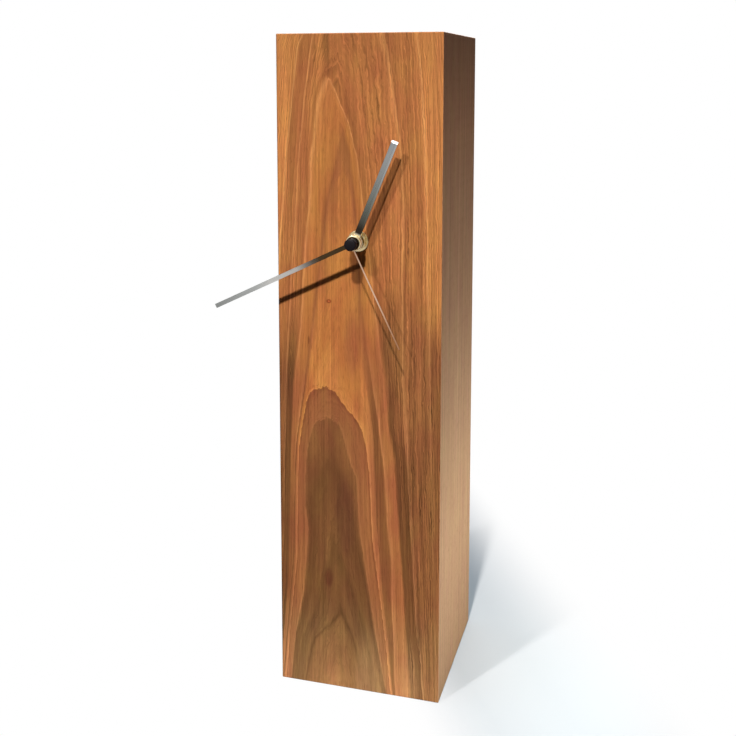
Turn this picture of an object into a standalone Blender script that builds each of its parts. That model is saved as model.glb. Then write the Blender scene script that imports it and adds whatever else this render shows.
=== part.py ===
"""A tall wooden desk clock: a square walnut-veneered column with a quartz movement.

Metres, +Z up. The front faces -Y, and the origin is the middle of the underside.
Run it with blender --background --python part.py, or from Blender's text editor.
"""
import math

import bmesh
import bpy
from mathutils import Matrix, Vector

# The case: a square column of mitred boards that stands on a thin felt pad.
case_width = 0.100
case_depth = 0.100
case_height = 0.400
board = 0.012
seat_gap = 0.0003
pad_inset = 0.004
pad_thickness = 0.001
pad_proud = 0.0003
overrun = 0.001

# The hand arbor stands square to the front, this far below the top of the column.
hub_drop = 0.120

# The front board is thinned behind the hub, so that the threaded bushing reaches through it.
face_wall = 0.006
pocket_clearance = 0.001

# The rear hatch lies in a rebate and is held by four pairs of magnet and keeper.
hatch_rail = 0.013
hatch_drop = 0.010
hatch_height = 0.146
hatch_thickness = 0.0057
ledge_width = 0.007
finger_hole_diameter = 0.018
finger_hole_drop = 0.045
magnet_diameter = 0.005
magnet_thickness = 0.002
keeper_thickness = 0.001

# The quartz movement: a moulded tray with a wheel chamber above and a battery bay below.
# The cell and its contacts set its width, and the hub is in the middle of that width.
shell_wall = 0.0014
bay_play = 0.0005
contact_play = 0.0007
train_margin = 0.0025
level_clearance = 0.0005
wheel_thickness = 0.001
gasket_diameter = 0.018
gasket_thickness = 0.0008

# The threaded bushing and what clamps the movement to the front board.
bushing_wall = 0.0011
thread_proud = 0.0008
flange_diameter = 0.012
flange_thickness = 0.0008
washer_diameter = 0.0125
washer_thickness = 0.0006
nut_wall = 0.0006
nut_thickness = 0.0026

# The three nested arbors, each with a running clearance of seat_gap in the next.
seconds_arbor_diameter = 0.0012
hour_pipe_wall = 0.0006
wheel_arbor_diameter = 0.0008
pivot_length = 0.0007
pinion_shoulder = 0.0001

# The wheel train: the directions that the arbors lie in, the rotor's distance, and the teeth.
# The other distances follow from the pinion on the seconds arbor and from the centre wheel.
third_direction = math.radians(20)
minute_work_direction = math.radians(172)
intermediate_direction = math.radians(108)
rotor_distance = 0.0050
rotor_direction = math.radians(20)
seconds_pinion_teeth = 8
third_wheel_teeth = 60
third_pinion_teeth = 8
centre_wheel_teeth = 64
cannon_pinion_teeth = 12
minute_wheel_teeth = 36
minute_pinion_teeth = 10
hour_wheel_teeth = 40
seconds_wheel_teeth = 60
intermediate_pinion_teeth = 8
intermediate_wheel_teeth = 40
rotor_pinion_teeth = 10
tooth_tip_share = 0.24
tooth_root_share = 0.42
addendum_share = 0.85
dedendum_share = 1.10

# The stepping motor, the circuit board and the battery contacts.
magnet_rotor_diameter = 0.0044
rotor_magnet_length = 0.0022
stator_gap = 0.0004
stator_thickness = 0.0010
stator_width = 0.022
stator_foot_drop = 0.0042
stator_leg = 0.0022
core_height = 0.0030
core_thickness = 0.0010
coil_rise = 0.0032
coil_headroom = 0.0025
coil_end_play = 0.0013
bobbin_wall = 0.0006
bobbin_flange_thickness = 0.0008
circuit_width = 0.012
circuit_height = 0.030
circuit_thickness = 0.0010
circuit_setback = 0.0045
chip_side = 0.0050
chip_thickness = 0.0009
crystal_diameter = 0.0020
crystal_length = 0.0060
contact_thickness = 0.0005
contact_width = 0.0080
contact_tab_width = 0.0030

# A size AA cell, and the setting knob on the back of the minute-work arbor.
battery_diameter = 0.0142
battery_length = 0.0492
battery_nub_diameter = 0.0055
battery_nub_length = 0.0010
battery_rim = 0.0006
knob_diameter = 0.0110
knob_thickness = 0.0032
knob_teeth = 24
knurl_depth = 0.0004

# The hands: straight flat bars, each with a clearance above what lies behind it on the hub.
hour_hand_length = 0.0637
hour_hand_width = 0.0039
hour_hand_thickness = 0.0008
hour_hand_lift = 0.0030
hour_boss_diameter = 0.0098
hour_hand_angle = math.radians(22.3)
minute_hand_length = 0.0954
minute_hand_width = 0.0026
minute_hand_thickness = 0.0007
minute_hand_lift = 0.0007
minute_boss_diameter = 0.0080
minute_hand_angle = math.radians(244.1)
second_hand_length = 0.0660
second_hand_width = 0.0009
second_hand_thickness = 0.0004
second_boss_diameter = 0.0056
second_hand_angle = math.radians(154.4)

# What fixes the hands: a brass collet, a black round nut and a black domed cap.
collet_flange_diameter = 0.0092
collet_flange_thickness = 0.0016
collet_wall = 0.0006
minute_nut_diameter = 0.0068
minute_nut_thickness = 0.0016
cap_diameter = 0.0070
cap_length = 0.0028
cap_crown = 0.0009

fill_scale = 1000.0
smooth_limit = math.radians(35)

for leftover in list(bpy.data.objects):
    bpy.data.objects.remove(leftover, do_unlink=True)


def finish(name, colour, roughness, metallic=0.0):
    """A plain Principled material."""
    material = bpy.data.materials.new(name)
    material.use_nodes = True
    shader = material.node_tree.nodes["Principled BSDF"]
    shader.inputs["Base Color"].default_value = (*colour, 1.0)
    shader.inputs["Roughness"].default_value = roughness
    shader.inputs["Metallic"].default_value = metallic
    return material


walnut_face = finish("walnut_face", (0.36, 0.15, 0.055), 0.42)
walnut_side = finish("walnut_side", (0.30, 0.17, 0.085), 0.45)
felt = finish("felt", (0.035, 0.03, 0.028), 0.95)
brass = finish("brass", (0.78, 0.62, 0.30), 0.25, 1.0)
satin_steel = finish("satin_steel", (0.62, 0.62, 0.60), 0.30, 1.0)
copper_steel = finish("copper_steel", (0.72, 0.55, 0.42), 0.30, 1.0)
black_plastic = finish("black_plastic", (0.012, 0.012, 0.013), 0.35)
white_plastic = finish("white_plastic", (0.80, 0.80, 0.76), 0.40)
black_rubber = finish("black_rubber", (0.015, 0.015, 0.015), 0.80)
magnet_steel = finish("magnet_steel", (0.55, 0.55, 0.56), 0.25, 1.0)
copper_wire = finish("copper_wire", (0.72, 0.27, 0.10), 0.35, 1.0)
circuit_green = finish("circuit_green", (0.02, 0.16, 0.06), 0.45)
battery_jacket = finish("battery_jacket", (0.05, 0.05, 0.055), 0.35)


def empty(name, place, turn=(0.0, 0.0, 0.0), parent=None):
    """An empty that carries the pieces of one axis."""
    frame = bpy.data.objects.new(name, None)
    bpy.context.scene.collection.objects.link(frame)
    frame.location = place
    frame.rotation_euler = turn
    frame.parent = parent
    return frame


def piece(name, bm, material, parent=None, place=(0.0, 0.0, 0.0), turn=(0.0, 0.0, 0.0), smooth=False):
    """Makes a closed mesh into a named object with its faces pointing out."""
    bmesh.ops.remove_doubles(bm, verts=bm.verts, dist=seat_gap / fill_scale)
    bmesh.ops.recalc_face_normals(bm, faces=bm.faces)
    mesh = bpy.data.meshes.new(name)
    bm.to_mesh(mesh)
    bm.free()
    if smooth:
        mesh.shade_smooth()
        mesh.set_sharp_from_angle(angle=smooth_limit)
    mesh.materials.append(material)
    body = bpy.data.objects.new(name, mesh)
    bpy.context.scene.collection.objects.link(body)
    body.parent = parent
    body.location = place
    body.rotation_euler = turn
    return body


def cut(body, cutter):
    """Takes the cutter's shape out of the body with a live Boolean."""
    cutter.hide_render = True
    cutter.display_type = "WIRE"
    boolean = body.modifiers.new(cutter.name, "BOOLEAN")
    boolean.operation = "DIFFERENCE"
    boolean.object = cutter


def circle(radius, sides, centre=(0.0, 0.0), start=0.0):
    """The points of a regular polygon round a centre."""
    step = math.tau / sides
    return [
        (centre[0] + radius * math.cos(start + step * k), centre[1] + radius * math.sin(start + step * k))
        for k in range(sides)
    ]


def rectangle(low, high):
    """The corners of an upright rectangle, counter-clockwise."""
    return [(low[0], low[1]), (high[0], low[1]), (high[0], high[1]), (low[0], high[1])]


def prism_stack(levels, bore=None):
    """One solid of prisms stacked along Z, each an (outline, low, high), with a bore right through."""
    bm = bmesh.new()

    def loop(outline, height):
        verts = [bm.verts.new((x * fill_scale, y * fill_scale, height * fill_scale)) for x, y in outline]
        edges = [bm.edges.new((verts[k - 1], verts[k])) for k in range(len(verts))]
        return verts, edges

    def wall(lower, upper):
        for k in range(len(lower[0])):
            bm.faces.new((lower[0][k - 1], lower[0][k], upper[0][k], upper[0][k - 1]))

    def fill(*loops):
        edges = [edge for one in loops for edge in one[1]]
        bmesh.ops.triangle_fill(
            bm, use_beauty=True, use_dissolve=False, edges=edges, normal=(0.0, 0.0, 1.0))

    rings = [(loop(outline, low), loop(outline, high)) for outline, low, high in levels]
    for lower, upper in rings:
        wall(lower, upper)
    for below, above in zip(rings, rings[1:]):
        fill(below[1], above[0])
    if bore:
        lower = loop(bore, levels[0][1])
        upper = loop(bore, levels[-1][2])
        wall(lower, upper)
        fill(rings[0][0], lower)
        fill(rings[-1][1], upper)
    else:
        fill(rings[0][0])
        fill(rings[-1][1])
    bmesh.ops.scale(bm, vec=(1.0 / fill_scale,) * 3, verts=bm.verts)
    return bm


def turned(profile, sides):
    """A solid of revolution about Z from a closed profile of (radius, height) points."""
    bm = bmesh.new()
    rings = []
    for radius, height in profile:
        if radius == 0.0:
            rings.append([bm.verts.new((0.0, 0.0, height))] * sides)
        else:
            rings.append([bm.verts.new((x, y, height)) for x, y in circle(radius, sides)])
    for near, far in zip(rings, rings[1:] + rings[:1]):
        for k in range(sides):
            corners = []
            for vert in (near[k - 1], near[k], far[k], far[k - 1]):
                if vert not in corners:
                    corners.append(vert)
            if len(corners) > 2:
                bm.faces.new(corners)
    return bm


def box(low, high):
    """A box between two corners."""
    bm = bmesh.new()
    bmesh.ops.create_cube(bm, size=1.0)
    size = Vector(high) - Vector(low)
    middle = (Vector(high) + Vector(low)) / 2
    placed = Matrix.Translation(middle) @ Matrix.Diagonal((*size, 1.0))
    bmesh.ops.transform(bm, matrix=placed, verts=bm.verts)
    return bm


def gear(teeth, module, on_line, tooth_on_line):
    """A toothed outline with a tooth, or a gap, centred on the direction on_line."""
    pitch = math.tau / teeth
    start = on_line if tooth_on_line else on_line + pitch / 2
    tip = teeth * module / 2 + addendum_share * module
    root = teeth * module / 2 - dedendum_share * module
    outline = []
    for k in range(teeth):
        middle = start + pitch * k
        for radius, turn in (
            (root, -tooth_root_share / 2),
            (tip, -tooth_tip_share / 2),
            (tip, tooth_tip_share / 2),
            (root, tooth_root_share / 2),
        ):
            angle = middle + turn * pitch
            outline.append((radius * math.cos(angle), radius * math.sin(angle)))
    return outline


def mitred_board(name, material, centre, across, up, outward, width, height):
    """A board whose four edges are mitred at 45 degrees, half a glue line short of the mitre planes."""
    short = seat_gap * math.sqrt(0.5)
    bm = bmesh.new()
    rings = []
    for depth in (0.0, board):
        half_width = width / 2 - short - depth
        half_height = height / 2 - short - depth
        rings.append([
            bm.verts.new(Vector(centre) + Vector(across) * x + Vector(up) * y - Vector(outward) * depth)
            for x, y in rectangle((-half_width, -half_height), (half_width, half_height))
        ])
    bm.faces.new(rings[0])
    bm.faces.new(rings[1])
    for k in range(4):
        bm.faces.new((rings[0][k - 1], rings[0][k], rings[1][k], rings[1][k - 1]))
    return piece(name, bm, material)


# The case is six mitred boards round one hollow, 0.3 mm above the floor on its pad.
half_width = case_width / 2
half_depth = case_depth / 2
hub_height = case_height - hub_drop
case_base = pad_proud
board_height = case_height - case_base
middle_height = (case_height + case_base) / 2
x_axis, y_axis, z_axis = (1.0, 0.0, 0.0), (0.0, 1.0, 0.0), (0.0, 0.0, 1.0)

front_panel = mitred_board(
    "front_panel", walnut_face, (0.0, -half_depth, middle_height),
    x_axis, z_axis, (0.0, -1.0, 0.0), case_width, board_height)
back_panel = mitred_board(
    "back_panel", walnut_face, (0.0, half_depth, middle_height),
    x_axis, z_axis, y_axis, case_width, board_height)
left_panel = mitred_board(
    "left_panel", walnut_side, (-half_width, 0.0, middle_height),
    y_axis, z_axis, (-1.0, 0.0, 0.0), case_depth, board_height)
right_panel = mitred_board(
    "right_panel", walnut_side, (half_width, 0.0, middle_height),
    y_axis, z_axis, x_axis, case_depth, board_height)
top_panel = mitred_board(
    "top_panel", walnut_side, (0.0, 0.0, case_height),
    x_axis, y_axis, z_axis, case_width, case_depth)
bottom_panel = mitred_board(
    "bottom_panel", walnut_side, (0.0, 0.0, case_base),
    x_axis, y_axis, (0.0, 0.0, -1.0), case_width, case_depth)

# The felt pad is glued into a shallow recess of the bottom board and stands a little proud of it.
pad_x = half_width - pad_inset
pad_y = half_depth - pad_inset
piece("base_pad", box((-pad_x, -pad_y, 0.0), (pad_x, pad_y, pad_thickness)), felt)
cut(bottom_panel, piece("pad_recess_cutter", box(
    (-pad_x - seat_gap, -pad_y - seat_gap, -overrun),
    (pad_x + seat_gap, pad_y + seat_gap, pad_thickness + seat_gap)), felt))

# Every piece on the hand arbor is drawn looking at the front: x right, y up, z out of the face.
hand_axis = empty("hand_axis", (0.0, -half_depth, hub_height), (math.pi / 2, 0.0, 0.0))

# Heights along the hand arbor, from the front face back into the case.
gasket_front = -face_wall - seat_gap
gasket_back = gasket_front - gasket_thickness
flange_front = gasket_back - seat_gap
flange_back = flange_front - flange_thickness
plate_front = flange_back - seat_gap
plate_back = plate_front - shell_wall
level_step = wheel_thickness + level_clearance


def level(number):
    """The (low, high) heights of a wheel level, counted from the front plate."""
    high = plate_back - level_clearance - (number - 1) * level_step
    return high - wheel_thickness, high


def distance_of(pinion_teeth, wheel_teeth, core_radius):
    """How far apart a pinion cut round a core and its wheel stand."""
    module = 2 * (core_radius + pinion_shoulder) / (pinion_teeth - 2 * dedendum_share)
    return module * (pinion_teeth + wheel_teeth) / 2


def module_of(distance, teeth_a, teeth_b):
    """The tooth module of two wheels that mesh at a distance."""
    return 2 * distance / (teeth_a + teeth_b)


rotor_magnet_front = level(6)[0] - level_clearance
rotor_magnet_back = rotor_magnet_front - rotor_magnet_length
cover_front = rotor_magnet_back - level_clearance
cover_back = cover_front - shell_wall
pivot_front = plate_back + pivot_length
pivot_back = cover_front - pivot_length

# The train: the pinion on the seconds arbor sets how far off the third arbor stands, and the
# arbors of the minute work and of the intermediate wheel just clear the centre wheel between them.
seconds_arbor_radius = seconds_arbor_diameter / 2
wheel_arbor_radius = wheel_arbor_diameter / 2
third_distance = distance_of(seconds_pinion_teeth, third_wheel_teeth, seconds_arbor_radius)
third_to_centre = module_of(third_distance, third_pinion_teeth, centre_wheel_teeth)
centre_wheel_radius = third_to_centre * (centre_wheel_teeth / 2 + addendum_share)
side_distance = centre_wheel_radius + wheel_arbor_radius + seat_gap
cannon_to_minute = module_of(side_distance, cannon_pinion_teeth, minute_wheel_teeth)
cannon_root = cannon_to_minute * (cannon_pinion_teeth / 2 - dedendum_share)

# Round clearances: every bore is its shaft's radius and one seat_gap.
minute_pipe_radius = cannon_root - pinion_shoulder
hour_pipe_bore = minute_pipe_radius + seat_gap
hour_pipe_radius = hour_pipe_bore + hour_pipe_wall
bushing_bore = hour_pipe_radius + seat_gap
bushing_radius = bushing_bore + bushing_wall
minute_pipe_bore = seconds_arbor_radius + seat_gap
wheel_pivot_bore = wheel_arbor_radius + seat_gap

# The stator lies halfway along the rotor magnet, and the coil's flat core lies on its legs.
stator_front = rotor_magnet_front - (rotor_magnet_length - stator_thickness) / 2
stator_back = stator_front - stator_thickness
core_back = stator_front + seat_gap
core_front = core_back + core_thickness
core_centre = (core_back + core_front) / 2
bore_y = core_height / 2 + seat_gap
bore_z = core_thickness / 2 + seat_gap
tube_y = bore_y + bobbin_wall
tube_z = bore_z + bobbin_wall
bobbin_flange = core_centre - cover_front - seat_gap - tube_z
half_coil = tube_y + bobbin_flange
rotor_rise = side_distance * math.sin(intermediate_direction) + rotor_distance * math.sin(rotor_direction)
window_bottom = rotor_rise + stator_foot_drop
core_middle = window_bottom + coil_rise + half_coil

# The tray of the movement: as wide as the cell between its contacts, as high above the hub as
# the coil needs, and as deep below it as the wheels and the cell under them need.
whole_battery = battery_length + battery_nub_length
half_inside = whole_battery / 2 + contact_play + contact_thickness + seat_gap
half_side = half_inside + shell_wall
chamber_top = core_middle + half_coil + coil_headroom
tray_top = chamber_top + shell_wall
chamber_bottom = -centre_wheel_radius - train_margin
bay_top = chamber_bottom - shell_wall
bay_bottom = bay_top - battery_diameter - 2 * bay_play
tray_bottom = bay_bottom - shell_wall

# The front board: a bore for the bushing, and a pocket behind it for the movement.
half_pocket = half_side + pocket_clearance
cut(front_panel, piece("shaft_bore_cutter", turned([
    (0.0, overrun), (0.0, -board - overrun),
    (bushing_radius + seat_gap, -board - overrun), (bushing_radius + seat_gap, overrun)], 32),
    walnut_face, hand_axis))
cut(front_panel, piece("movement_pocket_cutter", box(
    (-half_pocket, tray_bottom - pocket_clearance, -board - overrun),
    (half_pocket, tray_top + pocket_clearance, -face_wall)),
    walnut_face, hand_axis))

# The rear hatch fills a rebate round the opening in the back board.
hatch_middle = hub_height - hatch_drop
half_hatch = half_width - hatch_rail
half_hatch_height = hatch_height / 2
half_opening = half_hatch - ledge_width
half_opening_height = half_hatch_height - ledge_width
hatch_front = half_depth - hatch_thickness
cut(back_panel, piece("hatch_opening_cutter", box(
    (-half_opening, half_depth - board - overrun, hatch_middle - half_opening_height),
    (half_opening, half_depth + overrun, hatch_middle + half_opening_height)), walnut_face))
cut(back_panel, piece("hatch_rebate_cutter", box(
    (-half_hatch - seat_gap, hatch_front - seat_gap, hatch_middle - half_hatch_height - seat_gap),
    (half_hatch + seat_gap, half_depth + overrun, hatch_middle + half_hatch_height + seat_gap)),
    walnut_face))
hatch_origin = empty("hatch_slide", (0.0, half_depth, hatch_middle))
rear_hatch = piece("rear_hatch", box(
    (-half_hatch, -hatch_thickness, -half_hatch_height), (half_hatch, 0.0, half_hatch_height)),
    walnut_face, hatch_origin)
finger_radius = finger_hole_diameter / 2
cut(rear_hatch, piece("finger_hole_cutter", turned([
    (0.0, overrun), (0.0, -hatch_thickness - overrun),
    (finger_radius, -hatch_thickness - overrun), (finger_radius, overrun)], 32),
    walnut_face, hatch_origin, (0.0, 0.0, -finger_hole_drop), (-math.pi / 2, 0.0, 0.0)))

# Four magnets sit in the ledge, each with a steel keeper opposite it in the hatch.
back_face = empty("back_face", (0.0, half_depth, hatch_middle))
magnet_radius = magnet_diameter / 2
magnet_top = -hatch_thickness - seat_gap
for number, (side, end) in enumerate(((-1, 1), (1, 1), (-1, -1), (1, -1)), start=1):
    magnet_x = side * (half_hatch - ledge_width / 2)
    magnet_z = end * (half_hatch_height - ledge_width / 2)
    spot = (magnet_x, 0.0, magnet_z)
    facing = (-math.pi / 2, 0.0, 0.0)
    piece(f"hatch_magnet_{number}", turned([
        (0.0, magnet_top), (0.0, magnet_top - magnet_thickness),
        (magnet_radius, magnet_top - magnet_thickness), (magnet_radius, magnet_top)], 20),
        magnet_steel, back_face, spot, facing, True)
    cut(back_panel, piece(f"magnet_pocket_cutter_{number}", turned([
        (0.0, magnet_top + overrun), (0.0, magnet_top - magnet_thickness - seat_gap),
        (magnet_radius + seat_gap, magnet_top - magnet_thickness - seat_gap),
        (magnet_radius + seat_gap, magnet_top + overrun)], 20),
        walnut_face, back_face, spot, facing))
    piece(f"hatch_keeper_{number}", turned([
        (0.0, -hatch_thickness + keeper_thickness), (0.0, -hatch_thickness),
        (magnet_radius, -hatch_thickness), (magnet_radius, -hatch_thickness + keeper_thickness)], 20),
        satin_steel, hatch_origin, spot, facing, True)
    cut(rear_hatch, piece(f"keeper_pocket_cutter_{number}", turned([
        (0.0, -hatch_thickness + keeper_thickness + seat_gap), (0.0, -hatch_thickness - overrun),
        (magnet_radius + seat_gap, -hatch_thickness - overrun),
        (magnet_radius + seat_gap, -hatch_thickness + keeper_thickness + seat_gap)], 20),
        walnut_face, hatch_origin, spot, facing))

# The tray has walls, a front plate, and a partition above the battery bay.
movement_base = piece("movement_base", box(
    (-half_side, tray_bottom, cover_back), (half_side, tray_top, plate_front)), black_plastic, hand_axis)
cut(movement_base, piece("wheel_chamber_cutter", box(
    (-half_inside, chamber_bottom, cover_back - overrun), (half_inside, chamber_top, plate_back)),
    black_plastic, hand_axis))
cut(movement_base, piece("battery_bay_cutter", box(
    (-half_inside, bay_bottom, cover_back - overrun), (half_inside, bay_top, plate_back)),
    black_plastic, hand_axis))
cut(movement_base, piece("bushing_seat_cutter", turned([
    (0.0, plate_front + overrun), (0.0, plate_back - overrun),
    (bushing_radius + seat_gap, plate_back - overrun),
    (bushing_radius + seat_gap, plate_front + overrun)], 24), black_plastic, hand_axis))

# The cover closes the wheel chamber from behind.
movement_cover = piece("movement_cover", box(
    (-half_inside + seat_gap, chamber_bottom + seat_gap, cover_back),
    (half_inside - seat_gap, chamber_top - seat_gap, cover_front)), white_plastic, hand_axis)

# The threaded bushing carries the hour pipe, and its flange bears on the gasket.
washer_back = seat_gap
washer_front = washer_back + washer_thickness
nut_back = washer_front + seat_gap
nut_front = nut_back + nut_thickness
bushing_reach = nut_front + thread_proud
piece("threaded_bushing", turned([
    (bushing_bore, bushing_reach), (bushing_bore, plate_back),
    (bushing_radius, plate_back), (bushing_radius, flange_back),
    (flange_diameter / 2, flange_back), (flange_diameter / 2, flange_front),
    (bushing_radius, flange_front), (bushing_radius, bushing_reach)], 32),
    brass, hand_axis, smooth=True)
piece("rubber_gasket", turned([
    (bushing_radius + seat_gap, gasket_front), (bushing_radius + seat_gap, gasket_back),
    (gasket_diameter / 2, gasket_back), (gasket_diameter / 2, gasket_front)], 32),
    black_rubber, hand_axis, smooth=True)

# A brass washer and a hexagonal nut clamp the movement against the front board.
piece("hub_washer", turned([
    (bushing_radius + seat_gap, washer_front), (bushing_radius + seat_gap, washer_back),
    (washer_diameter / 2, washer_back), (washer_diameter / 2, washer_front)], 40),
    brass, hand_axis, smooth=True)
nut_radius = (bushing_radius + seat_gap + nut_wall) / math.cos(math.pi / 6)
piece("hub_nut", prism_stack(
    [(circle(nut_radius, 6, start=math.pi / 6), nut_back, nut_front)],
    circle(bushing_radius + seat_gap, 24)), brass, hand_axis)


def arbor_at(name, distance, direction, start=(0.0, 0.0)):
    """An empty on a wheel's axis, at a distance and direction from another axis."""
    place = (start[0] + distance * math.cos(direction), start[1] + distance * math.sin(direction))
    return empty(name, (*place, 0.0), parent=hand_axis), place


third_axis, third_place = arbor_at("third_axis", third_distance, third_direction)
minute_work_axis, minute_work_place = arbor_at("minute_work_axis", side_distance, minute_work_direction)
intermediate_axis, intermediate_place = arbor_at("intermediate_axis", side_distance, intermediate_direction)
rotor_axis, rotor_place = arbor_at("rotor_axis", rotor_distance, rotor_direction, intermediate_place)
seconds_to_third = module_of(third_distance, seconds_pinion_teeth, third_wheel_teeth)
minute_to_hour = module_of(side_distance, minute_pinion_teeth, hour_wheel_teeth)
seconds_to_intermediate = module_of(side_distance, seconds_wheel_teeth, intermediate_pinion_teeth)
intermediate_to_rotor = module_of(rotor_distance, intermediate_wheel_teeth, rotor_pinion_teeth)

# Level 1: the minute-work pinion turns the hour wheel. Level 2: the cannon pinion turns the minute wheel.
hour_low, hour_high = level(1)
minute_low, minute_high = level(2)
hour_hand_height = bushing_reach + hour_hand_lift
collet_back = hour_hand_height + hour_hand_thickness + seat_gap
collet_front = collet_back + collet_flange_thickness
piece("hour_wheel", prism_stack([
    (gear(hour_wheel_teeth, minute_to_hour, minute_work_direction, True), hour_low, hour_high),
    (circle(hour_pipe_radius, 24), hour_high, collet_front)],
    circle(hour_pipe_bore, 20)), brass, hand_axis, smooth=True)
# The arbor goes right through the cover and carries the setting knob.
knob_front = cover_back - seat_gap
knob_back = knob_front - knob_thickness
piece("minute_wheel", prism_stack([
    (circle(wheel_arbor_radius, 12), knob_back + shell_wall, minute_low),
    (gear(minute_wheel_teeth, cannon_to_minute, minute_work_direction + math.pi, False),
     minute_low, minute_high),
    (gear(minute_pinion_teeth, minute_to_hour, minute_work_direction + math.pi, False),
     minute_high, hour_high),
    (circle(wheel_arbor_radius, 12), hour_high, pivot_front)]),
    white_plastic, minute_work_axis, smooth=True)

# Level 3: the third pinion turns the centre wheel, whose pipe carries the minute hand.
centre_low, centre_high = level(3)
minute_hand_height = collet_front + minute_hand_lift
minute_nut_back = minute_hand_height + minute_hand_thickness + seat_gap
minute_nut_front = minute_nut_back + minute_nut_thickness
minute_pipe_end = minute_nut_front - seat_gap
piece("centre_wheel", prism_stack([
    (gear(centre_wheel_teeth, third_to_centre, third_direction, True), centre_low, centre_high),
    (gear(cannon_pinion_teeth, cannon_to_minute, minute_work_direction, True), centre_high, minute_high),
    (circle(minute_pipe_radius, 20), minute_high, minute_pipe_end)],
    circle(minute_pipe_bore, 16)), brass, hand_axis, smooth=True)

# Level 4: the seconds pinion is turned by, and here drives, the third wheel.
third_low, third_high = level(4)
piece("third_wheel", prism_stack([
    (circle(wheel_arbor_radius, 12), pivot_back, third_low),
    (gear(third_wheel_teeth, seconds_to_third, third_direction + math.pi, False), third_low, third_high),
    (gear(third_pinion_teeth, third_to_centre, third_direction + math.pi, False), third_high, centre_high),
    (circle(wheel_arbor_radius, 12), centre_high, pivot_front)]),
    white_plastic, third_axis, smooth=True)

# Level 5: the seconds wheel, on the arbor that runs right through to the second hand.
seconds_low, seconds_high = level(5)
second_hand_height = minute_nut_front + seat_gap
cap_back = second_hand_height + second_hand_thickness + seat_gap
cap_front = cap_back + cap_length
seconds_arbor_end = cap_back + (cap_length - cap_crown) / 2
piece("seconds_wheel", prism_stack([
    (circle(seconds_arbor_radius, 12), pivot_back, seconds_low),
    (gear(seconds_wheel_teeth, seconds_to_intermediate, intermediate_direction, True),
     seconds_low, seconds_high),
    (gear(seconds_pinion_teeth, seconds_to_third, third_direction, True), seconds_high, third_high),
    (circle(seconds_arbor_radius, 12), third_high, seconds_arbor_end)]),
    white_plastic, hand_axis, smooth=True)

# Level 6: the rotor pinion turns the intermediate wheel, whose pinion turns the seconds wheel.
rotor_low, rotor_high = level(6)
piece("intermediate_wheel", prism_stack([
    (circle(wheel_arbor_radius, 12), pivot_back, rotor_low),
    (gear(intermediate_wheel_teeth, intermediate_to_rotor, rotor_direction, True), rotor_low, rotor_high),
    (gear(intermediate_pinion_teeth, seconds_to_intermediate, intermediate_direction + math.pi, False),
     rotor_high, seconds_high),
    (circle(wheel_arbor_radius, 12), seconds_high, pivot_front)]),
    white_plastic, intermediate_axis, smooth=True)
piece("rotor_pinion", prism_stack([
    (circle(wheel_arbor_radius, 12), pivot_back, rotor_low),
    (gear(rotor_pinion_teeth, intermediate_to_rotor, rotor_direction + math.pi, False),
     rotor_low, rotor_high),
    (circle(wheel_arbor_radius, 12), rotor_high, pivot_front)]),
    white_plastic, rotor_axis, smooth=True)
rotor_magnet_radius = magnet_rotor_diameter / 2
piece("rotor_magnet", turned([
    (wheel_pivot_bore, rotor_magnet_front), (wheel_pivot_bore, rotor_magnet_back),
    (rotor_magnet_radius, rotor_magnet_back), (rotor_magnet_radius, rotor_magnet_front)], 20),
    magnet_steel, rotor_axis, smooth=True)

# Blind pivot holes in the front plate and the cover, one for each arbor.
for name, place in (
    ("third", third_place),
    ("minute_work", minute_work_place),
    ("intermediate", intermediate_place),
    ("rotor", rotor_place),
):
    cut(movement_base, piece(f"{name}_front_pivot_cutter", turned([
        (0.0, pivot_front + seat_gap), (0.0, plate_back - overrun),
        (wheel_pivot_bore, plate_back - overrun), (wheel_pivot_bore, pivot_front + seat_gap)], 16),
        black_plastic, hand_axis, (*place, 0.0)))
for name, place, radius, depth in (
    ("third", third_place, wheel_pivot_bore, pivot_back - seat_gap),
    ("minute_work", minute_work_place, wheel_pivot_bore, cover_back - overrun),
    ("intermediate", intermediate_place, wheel_pivot_bore, pivot_back - seat_gap),
    ("rotor", rotor_place, wheel_pivot_bore, pivot_back - seat_gap),
    ("seconds", (0.0, 0.0), seconds_arbor_radius + seat_gap, pivot_back - seat_gap),
):
    cut(movement_cover, piece(f"{name}_back_pivot_cutter", turned([
        (0.0, cover_front + overrun), (0.0, depth), (radius, depth), (radius, cover_front + overrun)], 16),
        white_plastic, hand_axis, (*place, 0.0)))

# The setting knob is pressed on the minute-work arbor behind the cover.
knob_root = knob_diameter / 2 - knurl_depth
knurl = [
    ((knob_root + knurl_depth * (k % 2)) * math.cos(math.pi * k / knob_teeth),
     (knob_root + knurl_depth * (k % 2)) * math.sin(math.pi * k / knob_teeth))
    for k in range(2 * knob_teeth)
]
setting_knob = piece("setting_knob", prism_stack([(knurl, knob_back, knob_front)]),
                     white_plastic, minute_work_axis)
cut(setting_knob, piece("knob_bore_cutter", turned([
    (0.0, knob_front + overrun), (0.0, knob_back + shell_wall - seat_gap),
    (wheel_pivot_bore, knob_back + shell_wall - seat_gap), (wheel_pivot_bore, knob_front + overrun)], 16),
    white_plastic, minute_work_axis))

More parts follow.
